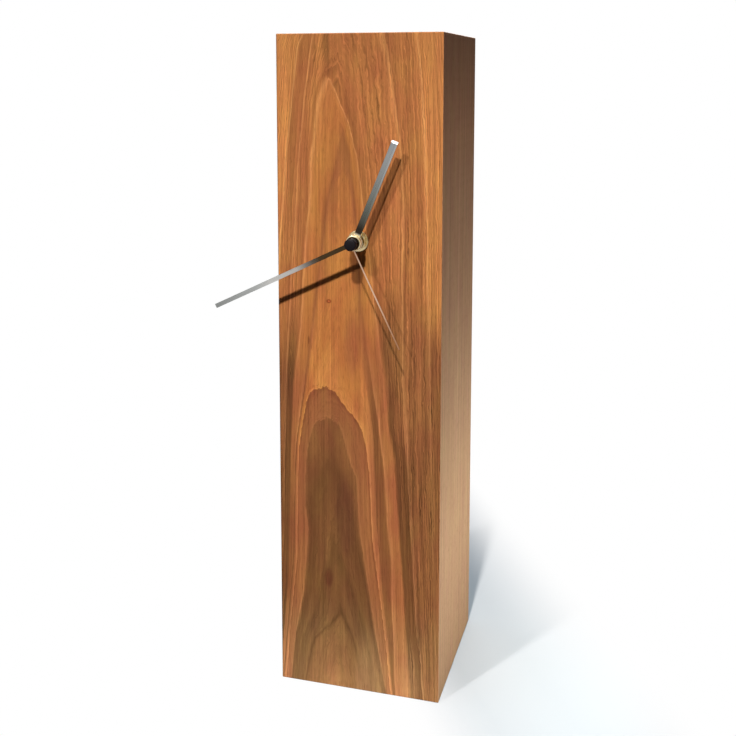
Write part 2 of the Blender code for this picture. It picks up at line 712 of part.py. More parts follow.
# The stator: a plate with a round hole for the rotor magnet and two legs up to the coil core.
half_stator = stator_width / 2
core_bottom = core_middle - core_height / 2
stator_rise = core_middle + core_height / 2
stator_low = rotor_rise - stator_foot_drop
stator_outline = [
    (-half_stator, stator_low), (half_stator, stator_low), (half_stator, stator_rise),
    (half_stator - stator_leg, stator_rise), (half_stator - stator_leg, window_bottom),
    (-half_stator + stator_leg, window_bottom), (-half_stator + stator_leg, stator_rise),
    (-half_stator, stator_rise)]
motor_stator = piece("motor_stator", prism_stack([(stator_outline, stator_back, stator_front)]),
                     magnet_steel, hand_axis)
for name, place, radius in (
    ("rotor", rotor_place, rotor_magnet_radius + stator_gap),
    ("intermediate", intermediate_place, wheel_pivot_bore),
):
    cut(motor_stator, piece(f"{name}_stator_cutter", turned([
        (0.0, stator_front + overrun), (0.0, stator_back - overrun),
        (radius, stator_back - overrun), (radius, stator_front + overrun)], 24),
        magnet_steel, hand_axis, (*place, 0.0)))

# The coil: a flat iron core laid on the stator's legs, a bobbin round it, and the winding.
piece("coil_core", box((-half_stator, core_bottom, core_back), (half_stator, stator_rise, core_front)),
      magnet_steel, hand_axis)


def square_ring(half_y, half_z):
    """The corners of a rectangle about the coil core's middle, for a prism along the core."""
    return rectangle((-half_z, -half_y), (half_z, half_y))


coil_axis = empty("coil_axis", (0.0, core_middle, core_centre), (0.0, math.pi / 2, 0.0), hand_axis)
half_bobbin = half_stator - stator_leg - coil_end_play
flange_outline = square_ring(half_coil, tube_z + bobbin_flange)
tube_outline = square_ring(tube_y, tube_z)
piece("coil_bobbin", prism_stack([
    (flange_outline, -half_bobbin, -half_bobbin + bobbin_flange_thickness),
    (tube_outline, -half_bobbin + bobbin_flange_thickness, half_bobbin - bobbin_flange_thickness),
    (flange_outline, half_bobbin - bobbin_flange_thickness, half_bobbin)],
    square_ring(bore_y, bore_z)), white_plastic, coil_axis)
winding_half = half_bobbin - bobbin_flange_thickness - seat_gap
winding_y = tube_y + seat_gap
winding_z = tube_z + seat_gap
winding_build = bobbin_flange - 2 * seat_gap
piece("coil_winding", prism_stack([
    (square_ring(winding_y + winding_build, winding_z + winding_build), -winding_half, winding_half)],
    square_ring(winding_y, winding_z)), copper_wire, coil_axis)

# The circuit board stands beside the train, with its chip and the quartz crystal.
circuit_right = half_inside - contact_thickness - 2 * seat_gap
circuit_left = circuit_right - circuit_width
circuit_bottom = chamber_bottom + seat_gap
circuit_top = circuit_bottom + circuit_height
circuit_front = plate_back - seat_gap
circuit_back = circuit_front - circuit_thickness
circuit_middle = (circuit_left + circuit_right) / 2
piece("circuit_board", box((circuit_left, circuit_bottom, circuit_back),
                           (circuit_right, circuit_top, circuit_front)), circuit_green, hand_axis)
chip_front = circuit_back - seat_gap
chip_bottom = circuit_bottom + circuit_setback
piece("circuit_chip", box(
    (circuit_middle - chip_side / 2, chip_bottom, chip_front - chip_thickness),
    (circuit_middle + chip_side / 2, chip_bottom + chip_side, chip_front)), black_plastic, hand_axis)
crystal_radius = crystal_diameter / 2
crystal_height = chip_bottom + chip_side + circuit_setback
piece("quartz_crystal", turned([
    (0.0, crystal_length / 2), (0.0, -crystal_length / 2),
    (crystal_radius, -crystal_length / 2), (crystal_radius, crystal_length / 2)], 16),
    magnet_steel, hand_axis, (circuit_middle, crystal_height, chip_front - crystal_radius),
    (0.0, math.pi / 2, 0.0), True)

# The battery lies across the bay, its nub to the right, between two sprung contacts.
battery_radius = battery_diameter / 2
battery_height = (bay_bottom + bay_top) / 2
battery_centre = plate_back - bay_play - battery_radius
battery_axis = empty("battery_slide", (-whole_battery / 2, battery_height, battery_centre),
                     (0.0, math.pi / 2, 0.0), hand_axis)
rim = battery_rim
nub_radius = battery_nub_diameter / 2
piece("battery", turned([
    (0.0, whole_battery), (0.0, 0.0), (battery_radius - rim, 0.0), (battery_radius, rim),
    (battery_radius, battery_length - rim), (battery_radius - rim, battery_length),
    (nub_radius, battery_length), (nub_radius, whole_battery)], 32),
    battery_jacket, battery_axis, smooth=True)

# Each contact is a T of sheet brass whose tab passes up through a notch in the partition.
contact_low = battery_height - contact_width / 2
tab_half = contact_tab_width / 2
contact_half = contact_width / 2
tab_top = circuit_bottom + circuit_setback
for name, side in (("positive_contact", 1), ("negative_contact", -1)):
    outer = side * (half_inside - seat_gap)
    contact_axis = empty(
        f"{name}_seat", (outer, 0.0, battery_centre), (0.0, side * math.pi / 2, 0.0), hand_axis)
    outline = [
        (-contact_half, contact_low), (contact_half, contact_low),
        (contact_half, contact_low + contact_width), (tab_half, contact_low + contact_width),
        (tab_half, tab_top), (-tab_half, tab_top),
        (-tab_half, contact_low + contact_width), (-contact_half, contact_low + contact_width)]
    piece(name, prism_stack([(outline, -contact_thickness, 0.0)]), brass, contact_axis)
    cut(movement_base, piece(f"{name}_notch_cutter", box(
        (-tab_half - seat_gap, bay_top - overrun, -contact_thickness - seat_gap),
        (tab_half + seat_gap, chamber_bottom + overrun, seat_gap)), black_plastic, contact_axis))


def hand(name, material, length, width, thickness, height, boss, bore, angle):
    """A flat bar that runs from its round boss straight to a square tip, turned clockwise from 12."""
    boss_radius = boss / 2
    meet = math.asin(width / 2 / boss_radius)
    arc_steps = 28
    sweep = math.tau - 2 * meet
    outline = [
        (boss_radius * math.sin(meet + sweep * k / arc_steps),
         boss_radius * math.cos(meet + sweep * k / arc_steps))
        for k in range(arc_steps + 1)
    ]
    outline += [(-width / 2, length), (width / 2, length)]
    flat = prism_stack([(outline, height, height + thickness)], circle(bore, 24))
    return piece(name, flat, material, hand_axis, turn=(0.0, 0.0, -angle), smooth=True)


# The hour hand sits on a brass collet, which is pressed on the hour pipe from the front.
collet_bore = hour_pipe_radius + seat_gap
collet_radius = collet_bore + collet_wall
hand("hour_hand", satin_steel, hour_hand_length, hour_hand_width, hour_hand_thickness,
     hour_hand_height, hour_boss_diameter, collet_radius + seat_gap, hour_hand_angle)
piece("hour_hand_collet", turned([
    (collet_bore, collet_front), (collet_bore, hour_hand_height),
    (collet_radius, hour_hand_height), (collet_radius, collet_back),
    (collet_flange_diameter / 2, collet_back), (collet_flange_diameter / 2, collet_front)], 32),
    brass, hand_axis, smooth=True)

# The minute hand is held on its pipe by a round black nut.
nut_bore = minute_pipe_radius + seat_gap
hand("minute_hand", satin_steel, minute_hand_length, minute_hand_width, minute_hand_thickness,
     minute_hand_height, minute_boss_diameter, nut_bore, minute_hand_angle)
piece("minute_hand_nut", turned([
    (nut_bore, minute_nut_front), (nut_bore, minute_nut_back),
    (minute_nut_diameter / 2, minute_nut_back), (minute_nut_diameter / 2, minute_nut_front)], 28),
    black_plastic, hand_axis, smooth=True)

# The second hand is pushed on the seconds arbor under a black domed cap.
arbor_bore = seconds_arbor_radius + seat_gap
hand("second_hand", copper_steel, second_hand_length, second_hand_width, second_hand_thickness,
     second_hand_height, second_boss_diameter, arbor_bore, second_hand_angle)
cap_radius = cap_diameter / 2
crown_steps = 5
crown = [
    (cap_radius * math.cos(math.pi / 2 * k / crown_steps),
     cap_front - cap_crown + cap_crown * math.sin(math.pi / 2 * k / crown_steps))
    for k in range(crown_steps)
]
piece("second_hand_cap", turned([
    (0.0, cap_front), (0.0, seconds_arbor_end + seat_gap), (arbor_bore, seconds_arbor_end + seat_gap),
    (arbor_bore, cap_back), (cap_radius, cap_back)] + crown, 28),
    black_plastic, hand_axis, smooth=True)
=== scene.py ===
"""The looks of a tall walnut desk clock with three straight metal hands.

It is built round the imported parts, in the order in which the clock is put together. Metres, +Z up, and the
front faces -Y. Shapes are arrays worked out with numpy, and patterns read Object coordinates.
"""
import math

import bmesh
import bpy
import numpy as np
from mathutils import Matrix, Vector


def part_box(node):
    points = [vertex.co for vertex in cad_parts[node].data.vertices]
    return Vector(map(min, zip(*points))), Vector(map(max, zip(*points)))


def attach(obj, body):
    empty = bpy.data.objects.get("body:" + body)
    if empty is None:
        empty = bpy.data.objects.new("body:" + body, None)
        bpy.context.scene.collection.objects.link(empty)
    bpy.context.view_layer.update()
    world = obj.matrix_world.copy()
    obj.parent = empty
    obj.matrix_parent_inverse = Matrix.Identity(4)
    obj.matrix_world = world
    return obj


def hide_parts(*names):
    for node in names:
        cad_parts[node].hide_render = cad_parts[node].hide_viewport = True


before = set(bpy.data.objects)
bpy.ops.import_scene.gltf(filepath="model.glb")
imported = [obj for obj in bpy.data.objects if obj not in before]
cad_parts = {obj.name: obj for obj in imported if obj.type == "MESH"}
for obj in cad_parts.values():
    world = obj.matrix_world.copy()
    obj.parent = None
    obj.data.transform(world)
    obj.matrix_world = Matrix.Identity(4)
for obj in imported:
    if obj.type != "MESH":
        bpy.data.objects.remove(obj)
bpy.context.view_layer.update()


# The camera stands to the right of the clock, a little below the level of its top, turned left and tipped
# down. Its place and both angles were fitted to the column's six visible corners and to the hands.
def new_object(name, data):
    """An object that holds the data, linked into the scene."""
    item = bpy.data.objects.new(name, data)
    bpy.context.scene.collection.objects.link(item)
    return item


picture_side = 736
focal_length_in_pixels = 1028.66
row_of_the_optical_axis = 200.0
tipped_down, turned_left = 0.11899, 0.2784
camera_data = bpy.data.cameras.new("camera")
camera_data.sensor_width = 36.0
camera_data.lens = focal_length_in_pixels / picture_side * camera_data.sensor_width
camera_data.shift_y = (row_of_the_optical_axis - picture_side / 2) / picture_side
camera_data.clip_start = 0.01
camera = new_object("camera", camera_data)
camera.location = (0.16847, -0.61860, 0.37487)
camera.rotation_euler = (math.pi / 2 - tipped_down, 0.0, turned_left)
bpy.context.scene.camera = camera
bpy.context.scene.view_settings.view_transform = "Standard"


# The stage is white paper that runs back to a white wall. Camera and glass rays see it white, and round the
# clock it takes light and shadow too, with those shadows lifted by a faint blue glow of its own. Light that
# bounces off it is dim, most of all in front, though a strip just before the clock's foot bounces more, and
# mirror rays find it bright in front of the clock and dark behind, as in a studio.
class Value:
    """What a socket gives at each point of a surface. Arithmetic with it adds math nodes to its tree."""

    def __init__(self, socket):
        self.socket = socket
        self.tree = socket.id_data

    def __add__(self, other):
        return calc("ADD", self, other)

    def __sub__(self, other):
        return calc("SUBTRACT", self, other)

    def __rsub__(self, other):
        return calc("SUBTRACT", other, self)

    def __mul__(self, other):
        return calc("MULTIPLY", self, other)

    def __truediv__(self, other):
        return calc("DIVIDE", self, other)


def feed(item, inputs):
    """Fills or links the inputs of a node, and returns its outputs. Both go by name or by number."""
    for key, value in dict(inputs).items():
        if isinstance(value, Value):
            value.tree.links.new(value.socket, item.inputs[key])
        else:
            item.inputs[key].default_value = value
    values = [Value(output) for output in item.outputs]
    return dict(enumerate(values)) | {value.socket.name: value for value in values}


def add(tree, kind, inputs=(), **options):
    """Adds a shader node, sets its options, feeds its inputs, and returns its outputs."""
    item = tree.nodes.new("ShaderNode" + kind)
    for key, value in options.items():
        setattr(item, key, value)
    return feed(item, inputs)


def calc(operation, a, b=0.0, clamp=False):
    """One math node on values, of which the first or the second changes over the surface."""
    tree = (a if isinstance(a, Value) else b).tree
    return add(tree, "Math", {0: a, 1: b}, operation=operation, use_clamp=clamp)[0]


def vector(operation, a, b=(0.0, 0.0, 0.0)):
    """One step of arithmetic on vectors. A length or a dot product is a number, the rest are vectors."""
    outputs = add(a.tree, "VectorMath", {0: a, 1: b}, operation=operation)
    return outputs["Value" if operation in ("LENGTH", "DOT_PRODUCT") else "Vector"]


def remap(value, low, high, new_low=0.0, new_high=1.0, smooth=False):
    """Carries the span low to high over to new_low to new_high, and holds the ends."""
    return add(value.tree, "MapRange", {0: value, 1: low, 2: high, 3: new_low, 4: new_high},
               interpolation_type="SMOOTHSTEP" if smooth else "LINEAR")[0]


def blended(factor, a, b, way="MIX"):
    """Two colours laid over each other."""
    tree = next(part.tree for part in (factor, a, b) if isinstance(part, Value))
    return add(tree, "Mix", {0: factor, 6: a, 7: b}, data_type="RGBA", blend_type=way)[2]


def emptied(owner):
    """The emptied node tree of a material or a world, its rays, and a mask of the rays that lead to the eye."""
    owner.use_nodes = True
    tree = owner.node_tree
    tree.nodes.clear()
    rays = add(tree, "LightPath")
    return tree, rays, calc("MAXIMUM", rays["Is Camera Ray"], rays["Is Transmission Ray"])


pure_white = (1.0, 1.0, 1.0, 1.0)
towards_the_shadow = (0.864, 0.504, 0.0)
paper = bpy.data.materials.new("white_paper")
tree, rays, seen = emptied(paper)
place = add(tree, "TexCoord")["Object"]
aside = vector("DOT_PRODUCT", place, towards_the_shadow)
behind = add(tree, "SeparateXYZ", {0: place})["Y"]
near = (remap(aside, 0.16, 0.085, smooth=True) * remap(vector("LENGTH", place), 0.5, 0.25, smooth=True)
        * remap(aside, 0.0, 0.045, smooth=True))
shown_colour = blended(near, (0.0, 0.0, 0.0, 1.0), (0.45, 0.45, 0.45, 1.0))
at_the_foot = remap(behind, -0.1, -0.07, smooth=True) * remap(behind, -0.048, -0.052)
sent_back = blended(remap(behind, -0.06, 0.0, smooth=True), (0.022, 0.018, 0.015, 1.0),
                    (0.16, 0.14, 0.12, 1.0))
sent_back = blended(at_the_foot, sent_back, (0.42, 0.46, 0.50, 1.0))
total = add(tree, "BsdfDiffuse", {"Color": blended(seen, sent_back, shown_colour)})[0]
for colour, strength in (
    (pure_white, seen * (1.0 - near)),
    ((0.30, 1.0, 1.70, 1.0), seen * near * 0.06),
    (pure_white, rays["Is Glossy Ray"] * remap(behind, 0.0, -0.35, 0.0, 0.75, smooth=True)),
):
    glow = add(tree, "Emission", {"Color": colour, "Strength": strength})[0]
    total = add(tree, "AddShader", {0: total, 1: glow})[0]
add(tree, "OutputMaterial", {"Surface": total})
half_floor = 4.0
floor_mesh = bpy.data.meshes.new("floor")
floor_mesh.from_pydata([(-half_floor, -half_floor, 0.0), (half_floor, -half_floor, 0.0),
                        (half_floor, half_floor, 0.0), (-half_floor, half_floor, 0.0)], [], [(0, 1, 2, 3)])
floor_mesh.materials.append(paper)
new_object("floor", floor_mesh)

world = bpy.data.worlds.new("white_wall")
bpy.context.scene.world = world
tree, rays, seen = emptied(world)
toward = add(tree, "SeparateXYZ", {0: add(tree, "TexCoord")["Generated"]})
heading = toward["Y"]
from_right = remap(toward["X"], 0.2, 1.0, 0.0, 0.29, smooth=True) * remap(heading, -0.35, 0.1, smooth=True)
room = from_right + remap(heading, -0.3, 0.3, 0.007, 0.05)
studio = rays["Is Glossy Ray"] * remap(heading, 0.0, -0.5, 0.05, 0.85, smooth=True)
room_colour = blended(remap(heading, -0.3, 0.1), (1.0, 0.50, 0.28, 1.0), (1.0, 0.81, 0.66, 1.0))
room_colour = blended(rays["Is Glossy Ray"], room_colour, (0.95, 0.98, 1.0, 1.0))
room_light = add(tree, "Background", {"Color": room_colour, "Strength": calc("MAXIMUM", studio, room)})[0]
white_wall = add(tree, "Background", {"Color": pure_white, "Strength": 1.0})[0]
add(tree, "OutputWorld", {"Surface": add(tree, "MixShader", {0: seen, 1: room_light, 2: white_wall})[0]})


# Four suns and a strip light. The key is high in front and throws the hands' shadows straight down. A
# second sun from the left doubles the hour hand's shadow, a wide one is nearly overhead, and a soft one
# lights the back. The strip lies low on the right and lights that side from below.
def aimed(name, data, travel, energy, colour):
    """A lamp whose light travels the given way."""
    data.energy = energy
    data.color = colour
    lamp = new_object(name, data)
    lamp.rotation_euler = Vector(travel).to_track_quat("-Z", "Y").to_euler()
    return lamp


for name, travel, energy, softness, colour in (
    ("key_lamp", (-0.04, 1.0, -1.34), 3.3, 0.045, (1.0, 0.985, 0.96)),
    ("left_lamp", (0.55, 1.0, -1.055), 1.7, 0.06, (1.0, 0.99, 0.98)),
    ("overhead_lamp", (1.1, 0.1, -7.0), 1.10, 0.50, (0.95, 0.98, 1.0)),
    ("rear_lamp", (0.30, -1.0, -0.35), 1.2, 0.60, (0.98, 0.99, 1.0)),
):
    sun = bpy.data.lights.new(name, "SUN")
    sun.angle = softness
    aimed(name, sun, travel, energy, colour)
strip_data = bpy.data.lights.new("low_strip", "AREA")
strip_data.shape = "RECTANGLE"
strip_data.size, strip_data.size_y = 0.20, 0.03
strip_data.spread = math.radians(120)
strip = aimed("low_strip", strip_data, (-1.0, 0.0, 0.10), 0.20, (0.86, 1.09, 1.08))
strip.location = (0.25, 0.0, 0.075)
strip.visible_camera = False
strip.visible_glossy = False

# The front board is fibreboard faced with flat-sawn walnut, whose growth rings show as tall pointed
# arches. Its four edges are mitred, its outer arrises are just rounded, and it is bored and pocketed
# for the movement.
half_case = 0.05
case_base = 0.0003
case_top = 0.4
middle_height = (case_top + case_base) / 2
half_height = (case_top - case_base) / 2
board = 0.012
glue_line = 0.00002
gap = 0.0003
arris = 0.0005
hub = (0.0, 0.28)


def grid_faces(rows, columns, round_columns=False, round_rows=False):
    """Quads between the neighbours of a grid of points, which may close on itself either way."""
    r = np.arange(rows if round_rows else rows - 1)[:, None]
    c = np.arange(columns if round_columns else columns - 1)[None, :]
    low, high = r * columns, (r + 1) % rows * columns
    c_next = (c + 1) % columns
    return np.stack([low + c, low + c_next, high + c_next, high + c], -1).reshape(-1, 4).tolist()


def solid(name, points, faces, material=None, smooth_angle=None):
    """A closed mesh object from points and faces: doubles are merged and the faces turned outwards."""
    mesh = bpy.data.meshes.new(name)
    mesh.from_pydata(np.asarray(points).tolist(), [], faces)
    tool = bmesh.new()
    tool.from_mesh(mesh)
    bmesh.ops.remove_doubles(tool, verts=tool.verts, dist=1e-7)
    bmesh.ops.recalc_face_normals(tool, faces=tool.faces)
    tool.to_mesh(mesh)
    tool.free()
    if smooth_angle:
        mesh.shade_smooth()
        mesh.set_sharp_from_angle(angle=math.radians(smooth_angle))
    if material:
        mesh.materials.append(material)
    return new_object(name, mesh)


def mitred_board(name, half_length, spacing, centre, up, outward, material):
    """A mitred board drawn as (across, up, depth): over its outer face the depth is zero, and within the
    arris radius r of an edge it is r - r cos(turn) at r sin(turn) along, with the turn going from 0 to 45
    degrees. From there four flat mitres run in to the smaller back face."""
    turn = np.radians(np.linspace(45.0, 0.0, 5))

    def samples(half):
        count = max(2, int(round(2 * half / spacing)))
        along = half - arris + arris * np.sin(turn)
        middle = np.linspace(arris - half, half - arris, count + 1)[1:-1]
        drop = arris - arris * np.cos(turn)
        return (np.concatenate([-along, middle, along[::-1]]),
                np.concatenate([drop, np.zeros(len(middle)), drop[::-1]]))

    half_u, half_v = half_case - glue_line, half_length - glue_line
    u, u_drop = samples(half_u)
    v, v_drop = samples(half_v)
    first = u.size * v.size
    face = np.stack([*np.meshgrid(u, v), v_drop[:, None] + u_drop[None, :]], -1).reshape(-1, 3)
    back = np.array([(-1, -1, 1), (1, -1, 1), (1, 1, 1), (-1, 1, 1)]) * (half_u - board, half_v - board, board)
    index = np.arange(first).reshape(v.size, u.size)
    faces = grid_faces(v.size, u.size)
    for edge, a, b in ((index[0], 0, 1), (index[:, -1], 1, 2), (index[-1, ::-1], 2, 3), (index[::-1, 0], 3, 0)):
        faces.append([*edge.tolist(), first + b, first + a])
    faces.append([first, first + 1, first + 2, first + 3])
    axes = np.array([np.cross(up, outward), up, np.negative(outward)], float)
    return solid(name, np.asarray(centre) + np.concatenate([face, back]) @ axes, faces, material)


def turned(profile, sides):
    """A solid of revolution: each (radius, height) of a closed profile goes round as
    (radius cos t, radius sin t, height)."""
    radius, height = np.array(profile, float).T
    angle = np.linspace(0.0, math.tau, sides, endpoint=False)
    points = np.stack([radius[:, None] * np.cos(angle), radius[:, None] * np.sin(angle),
                       np.repeat(height[:, None], sides, 1)], -1)
    return points.reshape(-1, 3), grid_faces(len(profile), sides, True, True)


def plug(radius, low, high, sides):
    """A round cutter that runs from one depth to another."""
    return turned([(0.0, low), (radius, low), (radius, high), (0.0, high)], sides)


def on_front(points):
    """Points drawn looking at the front, x right, y up and z out of the face, about the hub."""
    x, y, z = np.asarray(points).T
    return np.stack([hub[0] + x, -half_case - z, hub[1] + y], -1)


def block(low, high):
    """The eight corners and six sides of a box."""
    low, high = np.array(low), np.array(high)
    pick = np.array([[i >> 2 & 1, i >> 1 & 1, i & 1] for i in range(8)])
    sides = [[0, 1, 3, 2], [4, 5, 7, 6], [0, 1, 5, 4], [2, 3, 7, 6], [0, 2, 6, 4], [1, 3, 7, 5]]
    return low + pick * (high - low), sides


def applied(body):
    """Makes what a body's modifiers show its own mesh."""
    bpy.context.view_layer.update()
    mesh = bpy.data.meshes.new_from_object(body.evaluated_get(bpy.context.evaluated_depsgraph_get()))
    body.modifiers.clear()
    body.data = mesh


def carved(body, cutters):
    """Takes closed cutters out of a body, keeps the cut mesh and drops the cutters."""
    tools = [solid(f"cutter_{number}", *cutter) for number, cutter in enumerate(cutters)]
    for tool in tools:
        boolean = body.modifiers.new("cut", "BOOLEAN")
        boolean.operation = "DIFFERENCE"
        boolean.object = tool
    applied(body)
    for tool in tools:
        bpy.data.objects.remove(tool, do_unlink=True)


def fitted(piece, body, slot, *nodes):
    """Ties a finished piece to the CAD body it moves with and hides the nodes it replaces. Its slot is not
    used.
    """
    if nodes:
        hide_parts(*nodes)
    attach(piece, body)


# Each ring is an apex (across, height, half its flat top) and two limbs of (height, across), in millimetres
# on the face, down the left and down the right.
figure_rings = (
    ((-10, 430, 0.0),
     ((400, -33), (392, -36.5), (375, -38.5), (348, -41.5), (330, -44), (305, -46), (280, -48), (200, -52),
      (0, -60)),
     ((400, 34), (385, 36), (350, 39), (300, 40.5), (200, 43), (100, 46), (0, 49))),
    ((-14, 415, 0.0),
     ((400, -27), (380, -30), (360, -33), (320, -37), (260, -41), (190, -45.5), (100, -48), (0, -54)),
     ((400, 14), (385, 17.5), (370, 19.5), (350, 22), (330, 24.5), (300, 26.5), (240, 26.8), (200, 27.4),
      (175, 28.4), (150, 30), (130, 31.5), (95, 33.5), (55, 36), (0, 41))),
    ((-19, 378, 0.0),
     ((372, -23), (360, -26.5), (345, -28), (330, -30), (300, -32), (260, -34.5), (225, -37), (190, -41),
      (150, -43), (70, -45), (40, -47.5), (0, -51)),
     ((371, -14.5), (360, -10.5), (350, -6), (330, -0.5), (305, 3), (250, 9.5), (225, 13), (200, 16),
      (170, 18.5), (150, 22), (100, 25.5), (40, 29.8), (0, 32))),
    ((-9.5, 346, 0.0),
     ((330, -13), (320, -15), (305, -19), (260, -24.5), (230, -28.5), (190, -34), (150, -40), (80, -42),
      (30, -47), (0, -49.5)),
     ((330, -5), (305, -2.5), (280, 0), (245, 1.5), (230, 3.5), (200, 7.8), (175, 12), (150, 15), (135, 17),
      (110, 18.3), (90, 20.3), (0, 23))),
    ((-9, 321, 0.0),
     ((315, -13), (300, -18), (260, -23.5), (205, -30.7), (175, -35.5), (155, -38.6), (130, -40.2),
      (90, -40.8), (50, -44), (0, -48.7)),
     ((315, -6), (300, -3.6), (280, -1.5), (225, 0.6), (205, 2.3), (190, 5.3), (160, 9.5), (110, 11),
      (75, 13.7), (45, 17), (0, 21.5))),
    ((-21, 190.5, 5.5),
     ((188.5, -28), (186, -30.6), (180, -33), (170, -35), (150, -38), (100, -39.2), (80, -39.6), (40, -44),
      (0, -47.5)),
     ((188.5, -14.5), (182, -10.5), (176, -5), (170, 0.3), (165, 2.6), (155, 4.8), (140, 6.7), (100, 8.6),
      (40, 16.5), (0, 20.5))),
    ((-19.5, 171, 5.0),
     ((169.5, -25.5), (165, -28.6), (150, -32.3), (135, -33.6), (115, -33.6), (100, -31.8), (60, -35),
      (30, -41), (0, -44)),
     ((169.5, -14), (165, -11), (150, -6.8), (142, -4.6), (137, -1.6), (115, -0.2), (100, 0.7), (70, 5.8),
      (40, 10), (0, 18))),
    ((-10.8, 47.5, 0.0),
     ((44, -14), (37, -20.5), (30, -27.3), (24, -29.5), (0, -34)),
     ((44, -9.3), (35, -5.2), (25, -2), (8, 1), (0, 2))),
)
arch_reach = 60.0
fade_outside = 8.0


def ring_field(across, height):
    """The number of the growth ring that the face cuts at each point. Between two rings it runs evenly from
    limb to limb. Above the inner one's apex it rises to a line from apex to apex, by the share of the way
    down that line, taken to the power of the line's height over the arch's reach where the line is the
    taller. That gives the arches between them. Outside the first ring it falls by one over its fade."""

    def limbs(ring):
        (apex_x, apex_z, _), *sides = ring
        knots = [np.array([(apex_z, apex_x), *limb], float)[::-1] for limb in sides]
        return [np.interp(height, side[:, 0], side[:, 1]) for side in knots]

    left, right = limbs(figure_rings[0])
    field = 1.0 - np.maximum(np.maximum(left - across, across - right), 0.0) / fade_outside
    for number, ring in enumerate(figure_rings):
        apex_x, apex_z, _ = ring[0]
        left, right = limbs(ring)
        if number + 1 < len(figure_rings):
            next_x, next_z, flat_top = figure_rings[number + 1][0]
            line_height = apex_z - next_z
            way_down = np.clip((apex_z - height) / line_height, 0.0, 1.0) ** max(1.0, line_height / arch_reach)
            axis = np.clip(apex_x + (next_x - apex_x) * way_down, left + 1e-3, right - 1e-3)
            begun = height < next_z
            next_left, next_right = limbs(figure_rings[number + 1])
            next_left = np.where(begun, np.clip(next_left, left, right), axis - flat_top * way_down)
            next_right = np.where(begun, np.clip(next_right, left, right), axis + flat_top * way_down)
        else:
            way_down = np.clip((apex_z - height) / arch_reach, 0.0, 1.0)
            next_left = next_right = (left + right) / 2
        from_left = (across - left) / np.maximum(next_left - left, 1e-3)
        from_right = (right - across) / np.maximum(right - next_right, 1e-3)
        share = np.clip(np.minimum(from_left, from_right), 0.0, 1.0)
        inside = (height < apex_z) & (across > left) & (across < right)
        field = np.where(inside, number + 1 + share * way_down, field)
    return field


def noise(place, scale=1.0, detail=2.0, roughness=0.5):
    """Fractal noise between 0 and 1."""
    return add(place.tree, "TexNoise", {"Vector": place, "Scale": scale, "Detail": detail,
                                        "Roughness": roughness})[0]


def drawn_noise(grain, stretch, detail, roughness=0.5):
    """Noise drawn out along the fibre, as the stretch of each coordinate says."""
    return noise(vector("MULTIPLY", grain, stretch), 1.0, detail, roughness)


def new_group(name, kind, given, results):
    """A node group with inputs of one kind and numbers as results, and its two end nodes."""
    group = bpy.data.node_groups.new(name, "ShaderNodeTree")
    for socket in given:
        group.interface.new_socket(socket, in_out="INPUT", socket_type=kind)
    for socket in results:
        group.interface.new_socket(socket, in_out="OUTPUT", socket_type="NodeSocketFloat")
    return feed(group.nodes.new("NodeGroupInput"), ()), group.nodes.new("NodeGroupOutput"), group


# Walnut's own texture, on millimetre coordinates with the fibre along Z: noise drawn out along the fibre
# gives its streaks, and short dark vessels lie between them.
given, result, walnut_fibre = new_group("walnut_fibre", "NodeSocketVector", ("Grain",),
                                        ("Tone", "Pores", "Height", "Cloud"))
bands, streaks, fine, cloud, vessels = (
    drawn_noise(given["Grain"], *look) for look in (
        ((0.30, 0.30, 0.004), 2.0, 0.55), ((1.15, 1.15, 0.007), 3.0, 0.65), ((3.4, 3.4, 0.030), 3.0, 0.55),
        ((0.10, 0.10, 0.035), 2.0, 0.55), ((3.1, 3.1, 0.17), 1.0, 0.55)))
tone = cloud * 0.15
for layer, share in ((fine, 0.15), (bands, 0.25), (streaks, 0.45)):
    tone = layer * share + tone
pores = remap(vessels, 0.59, 0.70, smooth=True)
relief = fine * 0.35 - pores
feed(result, {"Tone": tone, "Pores": pores, "Height": relief, "Cloud": cloud})

# A soft oval mark on a board: one at its middle and nothing outside its two radii.
given, result, oval_mark = new_group("oval_mark", "NodeSocketFloat", (
    "Across", "Along", "Middle across", "Middle along", "Half width", "Half length"), ("Mask",))
x, z = ((given[at] - given[middle]) / given[half]
        for at, middle, half in (("Across", "Middle across", "Half width"),
                                 ("Along", "Middle along", "Half length")))
off_middle = calc("SQRT", x * x + z * z)
feed(result, {"Mask": remap(off_middle, 1.0, 0.35, smooth=True)})


def use_group(tree, group, inputs):
    """A node group placed in a material's tree, with its inputs filled or linked."""
    item = tree.nodes.new("ShaderNodeGroup")
    item.node_tree = group
    return feed(item, inputs)


def new_material(name):
    """A material with only its output and a Principled shader, and the tree that holds them."""
    material = bpy.data.materials.new(name)
    material.use_nodes = True
    tree = material.node_tree
    return material, tree, tree.nodes["Principled BSDF"]


def tint(red, green, blue):
    """A colour written as the eye reads it, 0 to 255, in the linear values that a shader takes."""
    share = np.array([red, green, blue]) / 255.0
    linear = np.where(share > 0.04045, ((share + 0.055) / 1.055) ** 2.4, share / 12.92)
    return (*linear.tolist(), 1.0)


def ramp(value, stops, low=0.0, high=1.0):
    """A colour that changes along a value: the stops are (value, red, green, blue) from low to high."""
    colours = add(value.tree, "ValToRGB", {0: remap(value, low, high)})[0]
    ends = colours.socket.node.color_ramp.elements
    for element, stop in ((ends[0], stops[0]), (ends[1], stops[-1])):
        element.position = (stop[0] - low) / (high - low)
        element.color = tint(*stop[1:])
    for stop in stops[1:-1]:
        ends.new((stop[0] - low) / (high - low)).color = tint(*stop[1:])
    return colours


def raised(height, distance, strength):
    """The normal of a surface with a fine relief."""
    return add(height.tree, "Bump", {"Height": height, "Distance": distance, "Strength": strength})[0]


def combined(x, y, z=0.0):
    """A vector put together from values."""
    return add(x.tree, "CombineXYZ", {0: x, 1: y, 2: z})[0]


